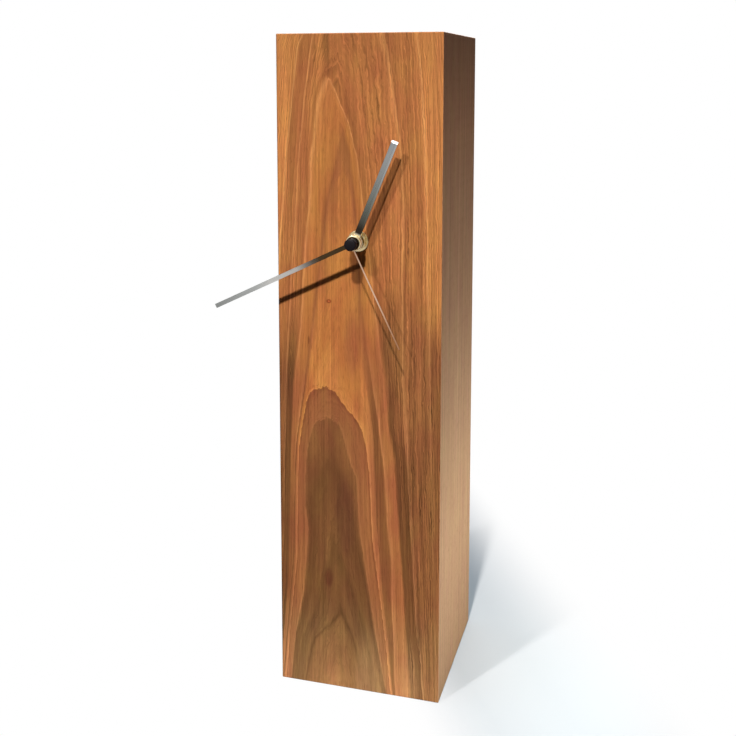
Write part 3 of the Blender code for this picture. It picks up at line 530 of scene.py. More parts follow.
def millimetres(tree, order=(0, 1, 2)):
    """Object coordinates in millimetres, together and one by one, with the axes in the order of the grain."""
    scaled = vector("MULTIPLY", add(tree, "TexCoord")["Object"], (1000.0, 1000.0, 1000.0))
    parts = add(tree, "SeparateXYZ", {0: scaled})
    across, through, along = (parts[axis] for axis in order)
    return combined(across, through, along), across, through, along


def oiled_walnut(shader, colour, grain, outward, surface, lines, contrast):
    """Lays the fibre's streaks, vessels and fine ring lines over a board's colour. Deeper than the veneer,
    as told by how far out each point lies, the board shows its bare fibreboard."""
    tree = grain.tree
    fibre = use_group(tree, walnut_fibre, {"Grain": grain})
    value = fibre["Tone"] * contrast + (1.0 - contrast / 2)
    toned = add(tree, "HueSaturation", {
        "Hue": remap(fibre["Cloud"], 0.3, 0.7, 0.493, 0.507), "Saturation": 1.0, "Value": value * lines,
        "Color": colour})[0]
    vessel_brown = tint(84, 46, 24)
    pored = blended(fibre["Pores"] * 0.34, toned, vessel_brown)
    place = add(tree, "TexCoord")["Object"]
    veneer = 0.0006
    bare = remap(vector("DOT_PRODUCT", place, outward), surface - veneer + 0.00005,
                 surface - veneer - 0.00005)
    fibreboard = ramp(noise(place, 900.0, 3.0),
                      ((0.3, 128, 96, 62), (0.5, 152, 118, 80), (0.7, 172, 138, 98)))
    sheen = fibre["Tone"] * -0.16 + 0.55
    sheen = fibre["Pores"] * 0.15 + sheen
    sheen = calc("ADD", sheen, bare * 0.3, clamp=True)
    feed(shader, {"Base Color": blended(bare, pored, fibreboard), "Roughness": sheen,
                  "Normal": raised(fibre["Height"], 0.00004, 0.6), "Specular IOR Level": 0.10})


def ring_noise(waved, along, packing, run, layer, detail, roughness):
    """Noise that changes from ring to ring by its packing and along the fibre by its slow run."""
    return noise(combined(waved * packing, along * run, layer), 1.0, detail, roughness)


def crest(value, width):
    """One where a value passes through a half, and nothing from the width on."""
    return remap(calc("ABSOLUTE", value - 0.5), width, 0.0, smooth=True)


# The colours between the rings, as (ring, red, green, blue): the board's upper part, its lower part, and
# the dark heart inside the sixth ring.
upper_stops = (
    (-1.0, 197, 130, 74), (0.4, 193, 125, 71), (0.88, 194, 126, 71), (0.96, 218, 150, 90),
    (1.03, 188, 121, 69), (1.2, 172, 109, 62), (1.6, 177, 113, 64), (1.9, 166, 104, 60), (1.97, 206, 138, 82),
    (2.05, 176, 111, 64), (2.45, 175, 110, 63), (2.75, 180, 113, 65), (2.93, 162, 100, 57),
    (3.02, 170, 106, 60), (3.1, 208, 138, 82), (3.2, 188, 120, 67), (3.5, 186, 118, 63), (3.85, 180, 112, 61),
    (3.98, 164, 101, 57), (4.15, 155, 95, 55), (4.6, 163, 101, 59), (4.95, 170, 106, 60), (5.1, 190, 121, 65),
    (5.5, 184, 114, 61), (5.8, 198, 128, 69), (6.0, 204, 134, 72))
lower_stops = (
    (-1.0, 150, 97, 58), (0.3, 142, 90, 53), (0.9, 144, 92, 55), (1.0, 158, 104, 63), (1.1, 138, 88, 52),
    (1.5, 132, 83, 49), (1.9, 136, 86, 51), (1.98, 162, 108, 67), (2.05, 150, 97, 59), (2.12, 112, 71, 40),
    (2.5, 126, 80, 46), (2.85, 112, 71, 41), (2.98, 146, 91, 53), (3.1, 172, 106, 64), (3.6, 162, 99, 59),
    (3.9, 178, 112, 69), (4.0, 182, 116, 72), (4.1, 136, 84, 49), (4.6, 130, 81, 47), (4.92, 138, 86, 51),
    (5.02, 168, 104, 64), (5.6, 174, 107, 66), (6.0, 196, 125, 78))
heart_stops = (
    (6.0, 150, 90, 54), (6.05, 138, 82, 49), (6.2, 150, 92, 56), (6.8, 150, 93, 57), (6.95, 160, 102, 63),
    (7.0, 132, 84, 50), (7.05, 108, 69, 40), (7.2, 118, 77, 45), (7.3, 122, 81, 47), (7.4, 108, 71, 41),
    (7.6, 116, 76, 45), (7.85, 122, 80, 47), (7.96, 102, 65, 37), (8.04, 128, 83, 49), (8.4, 138, 90, 53),
    (9.0, 164, 107, 64))
walnut_front, tree, shader = new_material("walnut_front")
grain, across, _, along = millimetres(tree)
ring = add(tree, "Attribute", attribute_name="ring")["Fac"]
wander = drawn_noise(grain, (0.10, 0.10, 0.022), 3.0)
ripple = drawn_noise(grain, (0.55, 0.55, 0.10), 2.0)
curl = drawn_noise(grain, (0.30, 0.30, 0.16), 2.0)

# The rings' edges wander and ripple, and less so at the heart's edge and near the top.
calm = remap(ring, 5.3, 5.95, 1.0, 0.2) * remap(along, 335.0, 372.0, 1.0, 0.4)
level = ring
for layer, share in ((wander, 0.3), (ripple, 0.11)):
    level = (layer - 0.5) * (calm * share) + level

# The lower colours give way to the upper ones at a height that is greatest near ring 2.5 and rises to the
# right. The heart has colours of its own.
bark, heart, pith = -1.0, 6.0, 9.0
crossing = across * -0.3 + along + calc("MAXIMUM", level * 22.0, level * -10.7 + 81.7)
high_up = remap(crossing, 266.0, 318.0, smooth=True)
colour = blended(high_up, ramp(level, lower_stops, bark, heart), ramp(level, upper_stops, bark, heart))
colour = blended(calc("GREATER_THAN", level, heart), colour, ramp(level, heart_stops, heart, pith))

# Single streaks, knots and clouds: the middle of each in millimetres, half its width and length, how strong
# it is, and its colour.
for mark_x, mark_z, half_wide, half_tall, strength, paint in (
    (-19.0, 392.0, 2.6, 15.0, 0.55, (122, 82, 42)), (-4.0, 218.0, 7.0, 29.0, 0.85, (162, 94, 58)),
    (-18.2, 243.0, 2.2, 1.7, 0.85, (120, 52, 28)), (-18.2, 243.0, 1.0, 0.8, 0.9, (196, 110, 62)),
    (-31.0, 218.5, 0.9, 3.6, 0.6, (110, 60, 32)), (-18.8, 70.5, 3.4, 8.5, 0.75, (92, 50, 32)),
    (-8.5, 110.0, 8.5, 34.0, 0.45, (98, 58, 40)), (-19.5, 88.0, 2.2, 14.0, 0.5, (134, 92, 54)),
    (-46.0, 96.0, 8.0, 86.0, 0.55, (118, 76, 44)), (29.0, 200.0, 17.0, 55.0, 0.34, (190, 122, 74)),
    (20.0, 176.0, 2.0, 26.0, 0.4, (92, 58, 32)), (7.0, 6.0, 13.0, 44.0, 0.34, (172, 122, 80)),
    (32.0, 6.0, 9.0, 40.0, 0.24, (172, 122, 80)),
):
    mask = use_group(tree, oval_mark, {"Across": across, "Along": along, "Middle across": mark_x,
                     "Middle along": mark_z, "Half width": half_wide, "Half length": half_tall})["Mask"]
    colour = blended(mask * strength, colour, tint(*paint))

# The fine lines follow the ring number, less a share of the distance from the arches' axis, with a ripple
# and a curl. They are strong in the outer rings, with dark and pale veins between them.
axis_left_of_middle = 12.0
off_axis = calc("ABSOLUTE", across + axis_left_of_middle)
waved = ring
for layer, share in ((off_axis, -0.04), (ripple, 0.24), (curl, 0.17)):
    waved = layer * share + waved
outer_rings = remap(level, 3.2, 2.6)
strong = outer_rings * remap(high_up, 0.0, 1.0, 1.0, 0.8)
fine_rings = ring_noise(waved, along, 10.0, 0.005, 0.0, 3.0, 0.8)
lines = (fine_rings - 0.5) * (strong * 1.7 + 0.8) + 1.0
wave = calc("SINE", waved * 40.0 + wander * 14.0)
lines = wave * (strong * 0.11) + lines
# The left arris carries painted shade and the right arris a painted highlight.
painted_shade_left_arris, painted_highlight_right_arris = 0.45, 1.15
lines = (lines * remap(across, -49.1, -49.7, 1.0, painted_shade_left_arris)
         * remap(across, 49.2, 49.8, 1.0, painted_highlight_right_arris))
dark_vein = crest(ring_noise(waved, along, 4.0, 0.006, 7.3, 2.0, 0.6), 0.055)
pale_vein = crest(ring_noise(waved, along, 5.0, 0.005, 31.7, 1.0, 0.5), 0.035)
lines = lines - dark_vein * remap(high_up, 0.0, 1.0, 1.0, -0.35) * (outer_rings * 0.24 + 0.14)
lines = pale_vein * outer_rings * remap(high_up, 0.0, 1.0, 0.17, 0.05) + lines

# The foot is lighter and less red, and the upper part and the top edge are a little darker.
foot_height, less_red = 62.0, (0.98, 1.15, 1.19, 1.0)
lines = (lines * remap(along, foot_height, 5.0, 1.0, 1.24) * remap(high_up, 0.0, 1.0, 1.0, 0.945)
         * remap(along, 368.0, 390.0, 1.0, 0.93))
colour = blended(remap(along, foot_height, 38.0), colour, blended(1.0, colour, less_red, "MULTIPLY"))
front_contrast = 1.9
oiled_walnut(shader, colour, grain, (0.0, -1.0, 0.0), half_case, lines, front_contrast)

front_spacing = 0.0008
front_board = mitred_board("front_board", half_height, front_spacing, (0.0, -half_case, middle_height),
                           (0, 0, 1), (0, -1, 0), walnut_front)
tray_low, tray_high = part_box("movement_base")
pocket_room = 0.001
bore_radius = 0.00417
face_wall = 0.006
overrun = 0.001
bore_points, bore_faces = plug(bore_radius, overrun, -board - overrun, 64)
carved(front_board, [
    (on_front(bore_points), bore_faces),
    block((tray_low.x - pocket_room, -half_case + face_wall, tray_low.z - pocket_room),
          (tray_high.x + pocket_room, -half_case + 2 * board, tray_high.z + pocket_room))])

# Each vertex keeps the number of its ring, read at a height that wavers a little from fibre to fibre, so that
# the arches have frayed tips.
spots = np.empty(len(front_board.data.vertices) * 3, np.float32)
front_board.data.vertices.foreach_get("co", spots)
spots = spots.reshape(-1, 3) * 1000.0
fibres = sum(np.sin(rate * spots[:, 0] + 2.4 * rate * rate + 0.9 * np.sin(0.021 * spots[:, 2] + rate)) / 5.0
             for rate in (0.71, 1.13, 1.62, 2.35, 3.05))
fibre_run = 1.2
ring_values = ring_field(spots[:, 0], spots[:, 2] + fibre_run * fibres).astype(np.float32)
front_board.data.attributes.new("ring", "FLOAT", "POINT").data.foreach_set("value", ring_values)
fitted(front_board, "case", "walnut_front", "front_panel")


# The side boards are the same fibreboard faced with straight-grained walnut, whose rings show as fine
# upright lines. They are mitred to the front and back boards and meet them in hairlines.
def straight_walnut(name, order, outward, surface, stops, line_share, shaded_top=1.0):
    """Straight-grained walnut on a board that faces outward with its face at surface. The ring lines are
    noise across the board, drawn out along it. The order names the axes across, through and along, and
    painted shade lowers the tone to the last argument's share over the last 60 mm along the fibre."""
    material, tree, shader = new_material(name)
    grain, _, _, along = millimetres(tree, order)
    rings = drawn_noise(grain, (0.34, 0.02, 0.0022), 4.0, 0.6)
    lines = (rings - 0.5) * line_share + 1.0
    lines = lines * remap(along, 340.0, 400.0, 1.0, shaded_top)
    oiled_walnut(shader, ramp(rings, stops), grain, outward, surface, lines, 1.0)
    return material


side_stops = ((0.25, 182, 129, 94), (0.42, 207, 154, 120), (0.5, 198, 145, 110), (0.62, 213, 161, 127),
              (0.75, 184, 132, 98))
side_spacing = 0.02
# The sides carry painted shade over their top 60 mm.
for side, name in ((1, "right"), (-1, "left")):
    walnut = straight_walnut(f"walnut_{name}", (1, 0, 2), (side, 0, 0), half_case, side_stops, 0.35, 0.62)
    body = mitred_board(f"{name}_board", half_height, side_spacing, (side * half_case, 0.0, middle_height),
                        (0, 0, 1), (side, 0, 0), walnut)
    fitted(body, "case", "walnut_side", f"{name}_panel")

# The top and bottom boards carry the same veneer with its grain from left to right. The bottom one has
# a shallow recess in its underside for the felt pad.
end_stops = ((0.25, 168, 112, 70), (0.45, 190, 130, 84), (0.6, 178, 120, 76), (0.75, 158, 104, 66))
pad_low, pad_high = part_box("base_pad")
for upward, name, height in ((1, "top", case_top), (-1, "bottom", case_base)):
    walnut = straight_walnut(f"walnut_{name}", (1, 2, 0), (0, 0, upward), upward * height, end_stops, 0.6)
    body = mitred_board(f"{name}_board", half_case, side_spacing, (0.0, 0.0, height), (0, 1, 0), (0, 0, upward),
                        walnut)
    if name == "bottom":
        carved(body, [block((pad_low.x - gap, pad_low.y - gap, -arris),
                            (pad_high.x + gap, pad_high.y + gap, pad_high.z + gap))])
    fitted(body, "case", "walnut_end", f"{name}_panel")

# The pad is one square of dark wool felt, pressed, with soft edges and a nap of short hairs, glued into
# the recess. It stands 0.3 mm proud, so the clock rests on it.
felt, tree, shader = new_material("dark_felt")
hairs = noise(add(tree, "TexCoord")["Object"], 2600.0, 4.0, 0.7)
felt_stops = ((0.3, 34, 31, 29), (0.6, 58, 54, 51), (0.75, 82, 77, 72))
feed(shader, {"Base Color": ramp(hairs, felt_stops), "Roughness": 0.95, "Specular IOR Level": 0.1,
              "Normal": raised(hairs, 0.0001, 0.8)})
pad_side = pad_high.x - pad_low.x
pad_edge = 0.00025
steps_on_a_side = 46
turn = np.linspace(-math.pi / 2, math.pi / 2, 7)
loop_half = pad_side / 2 - pad_edge * (1.0 - np.cos(turn))
loop_height = ((pad_low.z + pad_high.z) / 2 + ((pad_high.z - pad_low.z) / 2 - pad_edge) * np.sign(turn)
               + pad_edge * np.sin(turn))
walk = np.linspace(-1.0, 1.0, steps_on_a_side + 1)[:-1]
held = np.ones(steps_on_a_side)
square = np.stack([np.concatenate([walk, held, -walk, -held]), np.concatenate([-held, walk, held, -walk])], -1)
loops = [np.insert(half * square, 2, height, axis=1) for half, height in zip(loop_half, loop_height)]
felt_faces = grid_faces(len(loops), len(square), round_columns=True)
felt_faces += [[start + step for step in range(len(square))] for start in (0, (len(loops) - 1) * len(square))]
felt_pad = solid("felt_pad", np.concatenate(loops), felt_faces, felt, 40)
fitted(felt_pad, "case", "felt", "base_pad")


# The back board is straight-grained like the sides. An opening with a rebate round it takes the hatch,
# and four blind holes in the ledge take the magnets.
def on_back(points, centre):
    """Points drawn on the back face, x to +X, y up and z out of the back, about a place (x, z)."""
    x, y, z = np.asarray(points).T
    return np.stack([centre[0] + x, half_case + z, centre[1] + y], -1)


def disc_holes(names, past_inside, past_outside):
    """Cutters one gap wider than discs let into the back, which run past both their faces as given."""
    holes = []
    for name in names:
        low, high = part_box(name)
        middle = (low + high) / 2
        points, faces = plug((high.x - low.x) / 2 + gap, low.y - half_case - past_inside,
                             high.y - half_case + past_outside, 32)
        holes.append((on_back(points, (middle.x, middle.z)), faces))
    return holes


back_stops = ((0.25, 160, 102, 62), (0.42, 190, 128, 80), (0.5, 174, 114, 70), (0.62, 196, 134, 84),
              (0.78, 150, 96, 58))
back_look = ((0, 1, 2), (0.0, 1.0, 0.0), half_case, back_stops, 0.7)
back_board = mitred_board("back_board", half_height, side_spacing, (0.0, half_case, middle_height),
                          (0, 0, 1), (0, 1, 0), straight_walnut("walnut_back", *back_look))
hatch_low, hatch_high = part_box("rear_hatch")
ledge = 0.007
magnets = [f"hatch_magnet_{number}" for number in range(1, 5)]
keepers = [f"hatch_keeper_{number}" for number in range(1, 5)]
carved(back_board, [
    block((hatch_low.x + ledge, half_case - board - arris, hatch_low.z + ledge),
          (hatch_high.x - ledge, half_case + arris, hatch_high.z - ledge)),
    block((hatch_low.x - gap, hatch_low.y - gap, hatch_low.z - gap),
          (hatch_high.x + gap, half_case + arris, hatch_high.z + gap)),
    *disc_holes(magnets, gap, arris)])
fitted(back_board, "case", "walnut_back", "back_panel")


# The magnets are nickel-plated discs glued in the ledge, and the keepers zinc-plated steel discs let
# into the hatch. Their CAD discs stay, with a plated finish.
def dress(material, *names):
    """Gives carried-over CAD nodes a finish of their own."""
    for name in names:
        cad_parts[name].material_slots[0].material = material


def plated(name, low, high, roughness, metallic=1.0):
    """A plated or cast surface: its tone and sheen wander a little between two values."""
    material, tree, shader = new_material(name)
    cloud = noise(add(tree, "TexCoord")["Object"], 420.0, 3.0)
    feed(shader, {"Base Color": ramp(cloud, ((0.3, *low), (0.7, *high))), "Metallic": metallic,
                  "Roughness": remap(cloud, 0.3, 0.7, roughness - 0.06, roughness + 0.06)})
    return material


nickel = plated("nickel_plate", (176, 176, 174), (206, 206, 204), 0.24)
dress(nickel, *magnets)
dress(plated("zinc_plate", (150, 154, 158), (182, 186, 190), 0.40), *keepers)


# The movement's tray is a black moulding. It has walls, a front plate, and a partition over the battery
# bay, its edges are softened, and two ribs stiffen the bay's floor.
def moulded(name, colour, roughness, specular=0.4):
    """Moulded plastic with a fine spark-eroded texture."""
    material, tree, shader = new_material(name)
    place = add(tree, "TexCoord")["Object"]
    grain, cloud = noise(place, 5200.0), noise(place, 90.0)
    dark = [channel * 0.9 for channel in colour]
    feed(shader, {"Base Color": ramp(cloud, ((0.3, *dark), (0.7, *colour))),
                  "Roughness": remap(grain, 0.2, 0.8, roughness - 0.08, roughness + 0.08),
                  "Specular IOR Level": specular, "Normal": raised(grain, 0.00002, 0.4)})
    return material


def bevelled(body, width, angle):
    """Rounds a body's edges where its faces turn by more than the angle."""
    bevel = body.modifiers.new("edges", "BEVEL")
    bevel.width = width
    bevel.segments = 2
    bevel.limit_method = "ANGLE"
    bevel.angle_limit = math.radians(angle)
    applied(body)


def softened(name, node, width, material):
    """A merged copy of a CAD node's own shape with its edges rounded."""
    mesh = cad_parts[node].data.copy()
    mesh.name = name
    tool = bmesh.new()
    tool.from_mesh(mesh)
    bmesh.ops.remove_doubles(tool, verts=tool.verts, dist=1e-6)
    bmesh.ops.dissolve_limit(tool, angle_limit=math.radians(1), verts=tool.verts, edges=tool.edges)
    tool.to_mesh(mesh)
    tool.free()
    mesh.materials.clear()
    mesh.materials.append(material)
    body = new_object(name, mesh)
    bevelled(body, width, 50)
    body.data.shade_smooth()
    body.data.set_sharp_from_angle(angle=math.radians(35))
    return body


moulding_edge = 0.0002
black_moulding = moulded("black_moulding", (34, 34, 36), 0.48)
fitted(softened("movement_tray", "movement_base", moulding_edge, black_moulding), "case", "black_plastic",
       "movement_base")


# The wheels on the hands' own arbors are turned and hobbed from brass, and the others are moulded in white
# acetal on thin arbors. Their toothed CAD shapes stay.
def from_hub(tree):
    """Object coordinates measured from the hands' axis."""
    return vector("ADD", add(tree, "TexCoord")["Object"], (-hub[0], 0.0, -hub[1]))


def turned_metal(name, dark, light, roughness):
    """Lathe-turned metal about the hub: fine rings round the arbor in tone and in relief."""
    material, tree, shader = new_material(name)
    radius = vector("LENGTH", vector("MULTIPLY", from_hub(tree), (1.0, 0.0, 1.0)))
    rings = add(tree, "TexNoise", {"W": radius * 9000.0, "Scale": 1.0, "Detail": 2.0},
                noise_dimensions="1D")[0]
    cloud = noise(add(tree, "TexCoord")["Object"], 300.0)
    tone = rings * 0.5 + cloud * 0.5
    feed(shader, {"Base Color": ramp(tone, ((0.35, *dark), (0.65, *light))), "Metallic": 1.0,
                  "Roughness": remap(cloud, 0.3, 0.7, roughness - 0.05, roughness + 0.07),
                  "Normal": raised(rings, 0.00001, 0.3)})
    return material


brass = turned_metal("turned_brass", (208, 182, 130), (246, 230, 188), 0.26)
white_moulding = moulded("white_moulding", (232, 230, 222), 0.42)
dress(brass, "hour_wheel", "centre_wheel")
dress(white_moulding, "minute_wheel", "third_wheel", "seconds_wheel", "intermediate_wheel", "rotor_pinion")

# The stepping motor has a sheared iron stator, a flat iron core and a magnet for a rotor, and its coil is
# wound in even turns of enamelled copper wire on a white bobbin.
dress(plated("sheared_iron", (120, 118, 114), (160, 158, 154), 0.38), "motor_stator", "coil_core")
dress(plated("rotor_ferrite", (60, 60, 62), (84, 84, 86), 0.45, 0.6), "rotor_magnet")
dress(white_moulding, "coil_bobbin")
copper = plated("enamelled_copper", (168, 84, 38), (206, 116, 58), 0.26)
wind_low, wind_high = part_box("coil_winding")
core_low, core_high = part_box("coil_core")
wind_middle = (wind_low + wind_high) / 2
wind_length = wind_high.x - wind_low.x
wire, bobbin_wall, steps_in_turn, corner_power = 0.0002, 0.0012, 6, 6.0
turns = int(wind_length / wire)
phase = np.linspace(0.0, math.tau * turns, turns * steps_in_turn + 1)
swell = wire / 2 * (np.abs(np.sin(phase / 2)) - 1.0)
angle = np.linspace(0.0, math.tau, 48, endpoint=False)
section = np.stack([np.cos(angle), np.sin(angle)])
section /= np.sum(np.abs(section) ** corner_power, axis=0) ** (1.0 / corner_power)
loop_x = wind_low.x + wind_length * np.append(phase / phase[-1], (1.0, 0.0))
half_y = np.append((wind_high.y - wind_low.y) / 2 + swell, 2 * [(core_high.y - core_low.y) / 2 + bobbin_wall])
half_z = np.append((wind_high.z - wind_low.z) / 2 + swell, 2 * [(core_high.z - core_low.z) / 2 + bobbin_wall])
wound = np.stack(np.broadcast_arrays(loop_x[:, None], wind_middle.y + half_y[:, None] * section[0],
                                     wind_middle.z + half_z[:, None] * section[1]), -1)
coil = solid("wound_coil", wound.reshape(-1, 3), grid_faces(len(wound), angle.size, True, True), copper, 60)
fitted(coil, "case", "copper_wire", "coil_winding")


# The circuit board is green with paler tracks under its lacquer, and carries a black chip on two rows of
# tinned legs and a tubular quartz crystal.
def blocks(boxes):
    """Several boxes, given by their low and high corners, as one set of points and faces."""
    points, sides = zip(*(block(low, high) for low, high in boxes))
    return np.concatenate(points), [[corner + 8 * number for corner in side]
                                    for number, six in enumerate(sides) for side in six]


board_green, tree, shader = new_material("green_lacquer")
_, across, _, along = millimetres(tree)
tracks = add(tree, "TexBrick", {"Vector": combined(along, across),
             "Color1": tint(24, 104, 58), "Color2": tint(28, 112, 62), "Mortar": tint(58, 148, 88),
             "Scale": 1.0, "Mortar Size": 0.09, "Brick Width": 5.2, "Row Height": 1.35}, offset=0.37)[0]
feed(shader, {"Base Color": tracks, "Roughness": 0.3})
dress(board_green, "circuit_board")
dress(black_moulding, "circuit_chip")
dress(nickel, "quartz_crystal")
chip_low, chip_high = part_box("circuit_chip")
legs_on_a_side = 6
leg_half_width, leg_reach, leg_lift, leg_depth = 0.00015, 0.0009, 0.00035, 0.00028
leg_heights = chip_low.z + (np.arange(legs_on_a_side) + 0.5) * (chip_high.z - chip_low.z) / legs_on_a_side
chip_legs = solid("chip_legs", *blocks([
    ((left, chip_low.y - leg_depth, height - leg_half_width),
     (left + leg_reach, chip_low.y + leg_lift, height + leg_half_width))
    for height in leg_heights for left in (chip_low.x - leg_reach, chip_high.x)]), nickel)
fitted(chip_legs, "case", "magnet_steel")

# The battery contacts are T-shaped strips of sheet brass. Each has a bowed leaf that presses on the cell.
sheet_brass = plated("sheet_brass", (184, 146, 84), (222, 190, 122), 0.30)
dress(sheet_brass, "positive_contact", "negative_contact")
cell_low, cell_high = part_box("battery")
cell_middle = (cell_low + cell_high) / 2
half_width, half_length, thickness, bow = 0.0022, 0.0032, 0.0002, 0.0004
run = np.linspace(-1.0, 1.0, 17)
for name, side in (("positive", 1), ("negative", -1)):
    low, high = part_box(f"{name}_contact")
    bowed = (low.x if side > 0 else high.x) - side * bow * (1.0 - run ** 2)
    leaf = np.stack([np.stack([bowed - side * depth, np.full(run.size, cell_middle.y + y),
                               cell_middle.z + half_length * run], -1)
                     for depth, y in ((0.0, -half_width), (0.0, half_width), (thickness, half_width),
                                      (thickness, -half_width))], 1).reshape(-1, 3)
    leaf_faces = grid_faces(run.size, 4, round_columns=True)
    leaf_faces += [[start + corner for corner in range(4)] for start in (0, len(leaf) - 4)]
    fitted(solid(f"{name}_leaf", leaf, leaf_faces, sheet_brass, 40), "case", "brass")

# The cover is a white moulding that closes the wheel chamber from behind, with three stiffening ribs and
# a raised ring round the setting arbor.
fitted(softened("movement_lid", "movement_cover", moulding_edge, white_moulding), "case", "white_plastic",
       "movement_cover")
lid_low, lid_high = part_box("movement_cover")
rib_rise, rib_half_width, rib_margin, rib_shift = 0.0005, 0.0006, 0.003, 0.006
rib_places = [lid_low.x + share * (lid_high.x - lid_low.x) + rib_shift for share in (0.28, 0.5, 0.72)]
lid_ribs = solid("lid_ribs", *blocks([
    ((x - rib_half_width, lid_high.y - rib_rise, lid_low.z + rib_margin),
     (x + rib_half_width, lid_high.y + rib_rise, lid_high.z - rib_margin))
    for x in rib_places]), white_moulding)
fitted(lid_ribs, "case", "white_plastic")


# The setting knob is a white knurled thumbwheel with chamfered rims and a dished face.
def cut_in(points, depth_of):
    """Moves points towards their axis by a depth worked out from their angle, radius and height."""
    angle, radius = np.arctan2(points[:, 1], points[:, 0]), np.hypot(points[:, 0], points[:, 1])
    points[:, :2] *= (1.0 - depth_of(angle, radius, points[:, 2]) / np.maximum(radius, 1e-6))[:, None]


def knurling(angle, radius, height):
    """Notches round the rim, as deep as (1/2 - 1/2 cos(knurls t)) ^ 0.7 of the full depth."""
    return knurl_depth * (0.5 - 0.5 * np.cos(knurls * angle)) ** 0.7 * (radius > knob_radius - 1.01 * chamfer)


knob_low, knob_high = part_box("setting_knob")
knob_middle = (knob_low + knob_high) / 2
knob_radius = (knob_high.x - knob_low.x) / 2
knob_front, knob_back = knob_low.y - half_case, knob_high.y - half_case
knurls, knurl_depth, chamfer, arbor_radius = 24, 0.0004, 0.0005, 0.0007
dish, arbor_end = knob_back - 0.0006, knob_back - 0.0012
points, faces = turned([
    (arbor_radius, knob_front), (knob_radius - chamfer, knob_front), (knob_radius, knob_front + chamfer),
    (knob_radius, knob_back - chamfer), (knob_radius - chamfer, knob_back), (0.70 * knob_radius, knob_back),
    (0.60 * knob_radius, knob_back - 0.0004), (0.25 * knob_radius, dish), (0.0, dish), (0.0, arbor_end),
    (arbor_radius, arbor_end)], 8 * knurls)
cut_in(points, knurling)
knob = solid("thumbwheel", on_back(points, (knob_middle.x, knob_middle.z)), faces, white_moulding, 40)
fitted(knob, "minute_work", "white_plastic", "setting_knob")


# A black rubber gasket lies between the tray and the front board, and the bushing is a brass tube with a
# flange behind the gasket and a fine thread of half a millimetre's pitch in front.
def over_face(node):
    """The heights of a node's back and front over the clock's face, and half its width."""
    low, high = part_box(node)
    return -high.y - half_case, -low.y - half_case, (high.x - low.x) / 2


def ring_of(node, bore, chamfer):
    """A washer's profile from its CAD node: a bore, and a rim chamfered on both sides."""
    back, front, rim = over_face(node)
    return [(bore, back), (rim - chamfer, back), (rim, back + chamfer), (rim, front - chamfer),
            (rim - chamfer, front), (bore + chamfer, front), (bore, front - chamfer)]


def fit_turned(name, profile, sides, material, smooth_angle, body, slot, node):
    """Turns a piece about the hands' axis and fits it in place of its node."""
    points, faces = turned(profile, sides)
    fitted(solid(name, on_front(points), faces, material, smooth_angle), body, slot, node)


def thread(angle, radius, height):
    """A V-shaped groove that climbs one pitch a turn and runs out to its full depth at the open end."""
    advance = height / pitch - angle / math.tau
    groove = np.abs(2.0 * (advance - np.floor(advance)) - 1.0)
    lead = np.clip((bushing_front - height) / pitch, 0.0, 1.0)
    threaded = (np.abs(radius - bushing_radius) < 1e-6) & (height >= thread_low - 1e-9)
    return np.where(threaded, thread_depth * np.maximum(groove, 1.0 - lead), 0.0)


rubber = moulded("black_rubber", (26, 26, 26), 0.75)
hour_pipe_bore, bushing_radius, flange_thickness = 0.002772, 0.003872, 0.0008
fit_turned("gasket", ring_of("rubber_gasket", bushing_radius + gap, 0.0002), 64, rubber, 40, "case",
           "black_rubber", "rubber_gasket")
bushing_back, bushing_front, flange_radius = over_face("threaded_bushing")
flange_front = over_face("rubber_gasket")[0] - gap
flange_back = flange_front - flange_thickness
pitch, thread_depth, plain_length, rows_in_a_pitch = 0.0005, 0.00022, 0.0008, 8
thread_low = flange_front + plain_length
row_count = int((bushing_front - thread_low) / pitch * rows_in_a_pitch)
thread_rows = np.linspace(thread_low, bushing_front, row_count)
points, faces = turned([
    (hour_pipe_bore, bushing_back), (bushing_radius, bushing_back), (bushing_radius, flange_back),
    (flange_radius, flange_back), (flange_radius, flange_front), (bushing_radius, flange_front),
    *((bushing_radius, height) for height in thread_rows), (hour_pipe_bore, bushing_front)], 64)
cut_in(points, thread)
fitted(solid("bushing", on_front(points), faces, brass, 30), "case", "brass", "threaded_bushing")

# A brass washer and a hexagonal nut clamp the movement to the front board. The nut's six corners are
# turned off at 30 degrees on both faces.
fit_turned("washer", ring_of("hub_washer", bushing_radius + gap, 0.00012), 96, brass, 40, "case", "brass",
           "hub_washer")
nut_low, nut_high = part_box("hub_nut")
nut_back, nut_front, _ = over_face("hub_nut")
corner_radius = (nut_high.z - nut_low.z) / 2
flat_radius = corner_radius * math.cos(math.pi / 6)
nut_steps = 120
angle = np.linspace(0.0, math.tau, nut_steps, endpoint=False)
hexagon = flat_radius / np.cos((angle + math.pi / 6) % (math.pi / 3) - math.pi / 6)
cone_rise = (corner_radius - flat_radius) * math.tan(math.pi / 6)
rise = np.linspace(0.0, 1.0, 5)
heights = np.concatenate([nut_back + cone_rise * rise, nut_front - cone_rise * rise[::-1],
                          (nut_front, nut_back)])
cone = flat_radius + (corner_radius - flat_radius) * np.concatenate([rise, rise[::-1]])
radius = np.vstack([np.minimum(hexagon, cone[:, None]), np.full((2, nut_steps), bushing_radius + gap)])
nut = np.stack(np.broadcast_arrays(radius * np.cos(angle), radius * np.sin(angle), heights[:, None]), -1)
fitted(solid("clamp_nut", on_front(nut.reshape(-1, 3)), grid_faces(len(nut), nut_steps, True, True), brass, 25),
       "case", "brass", "hub_nut")


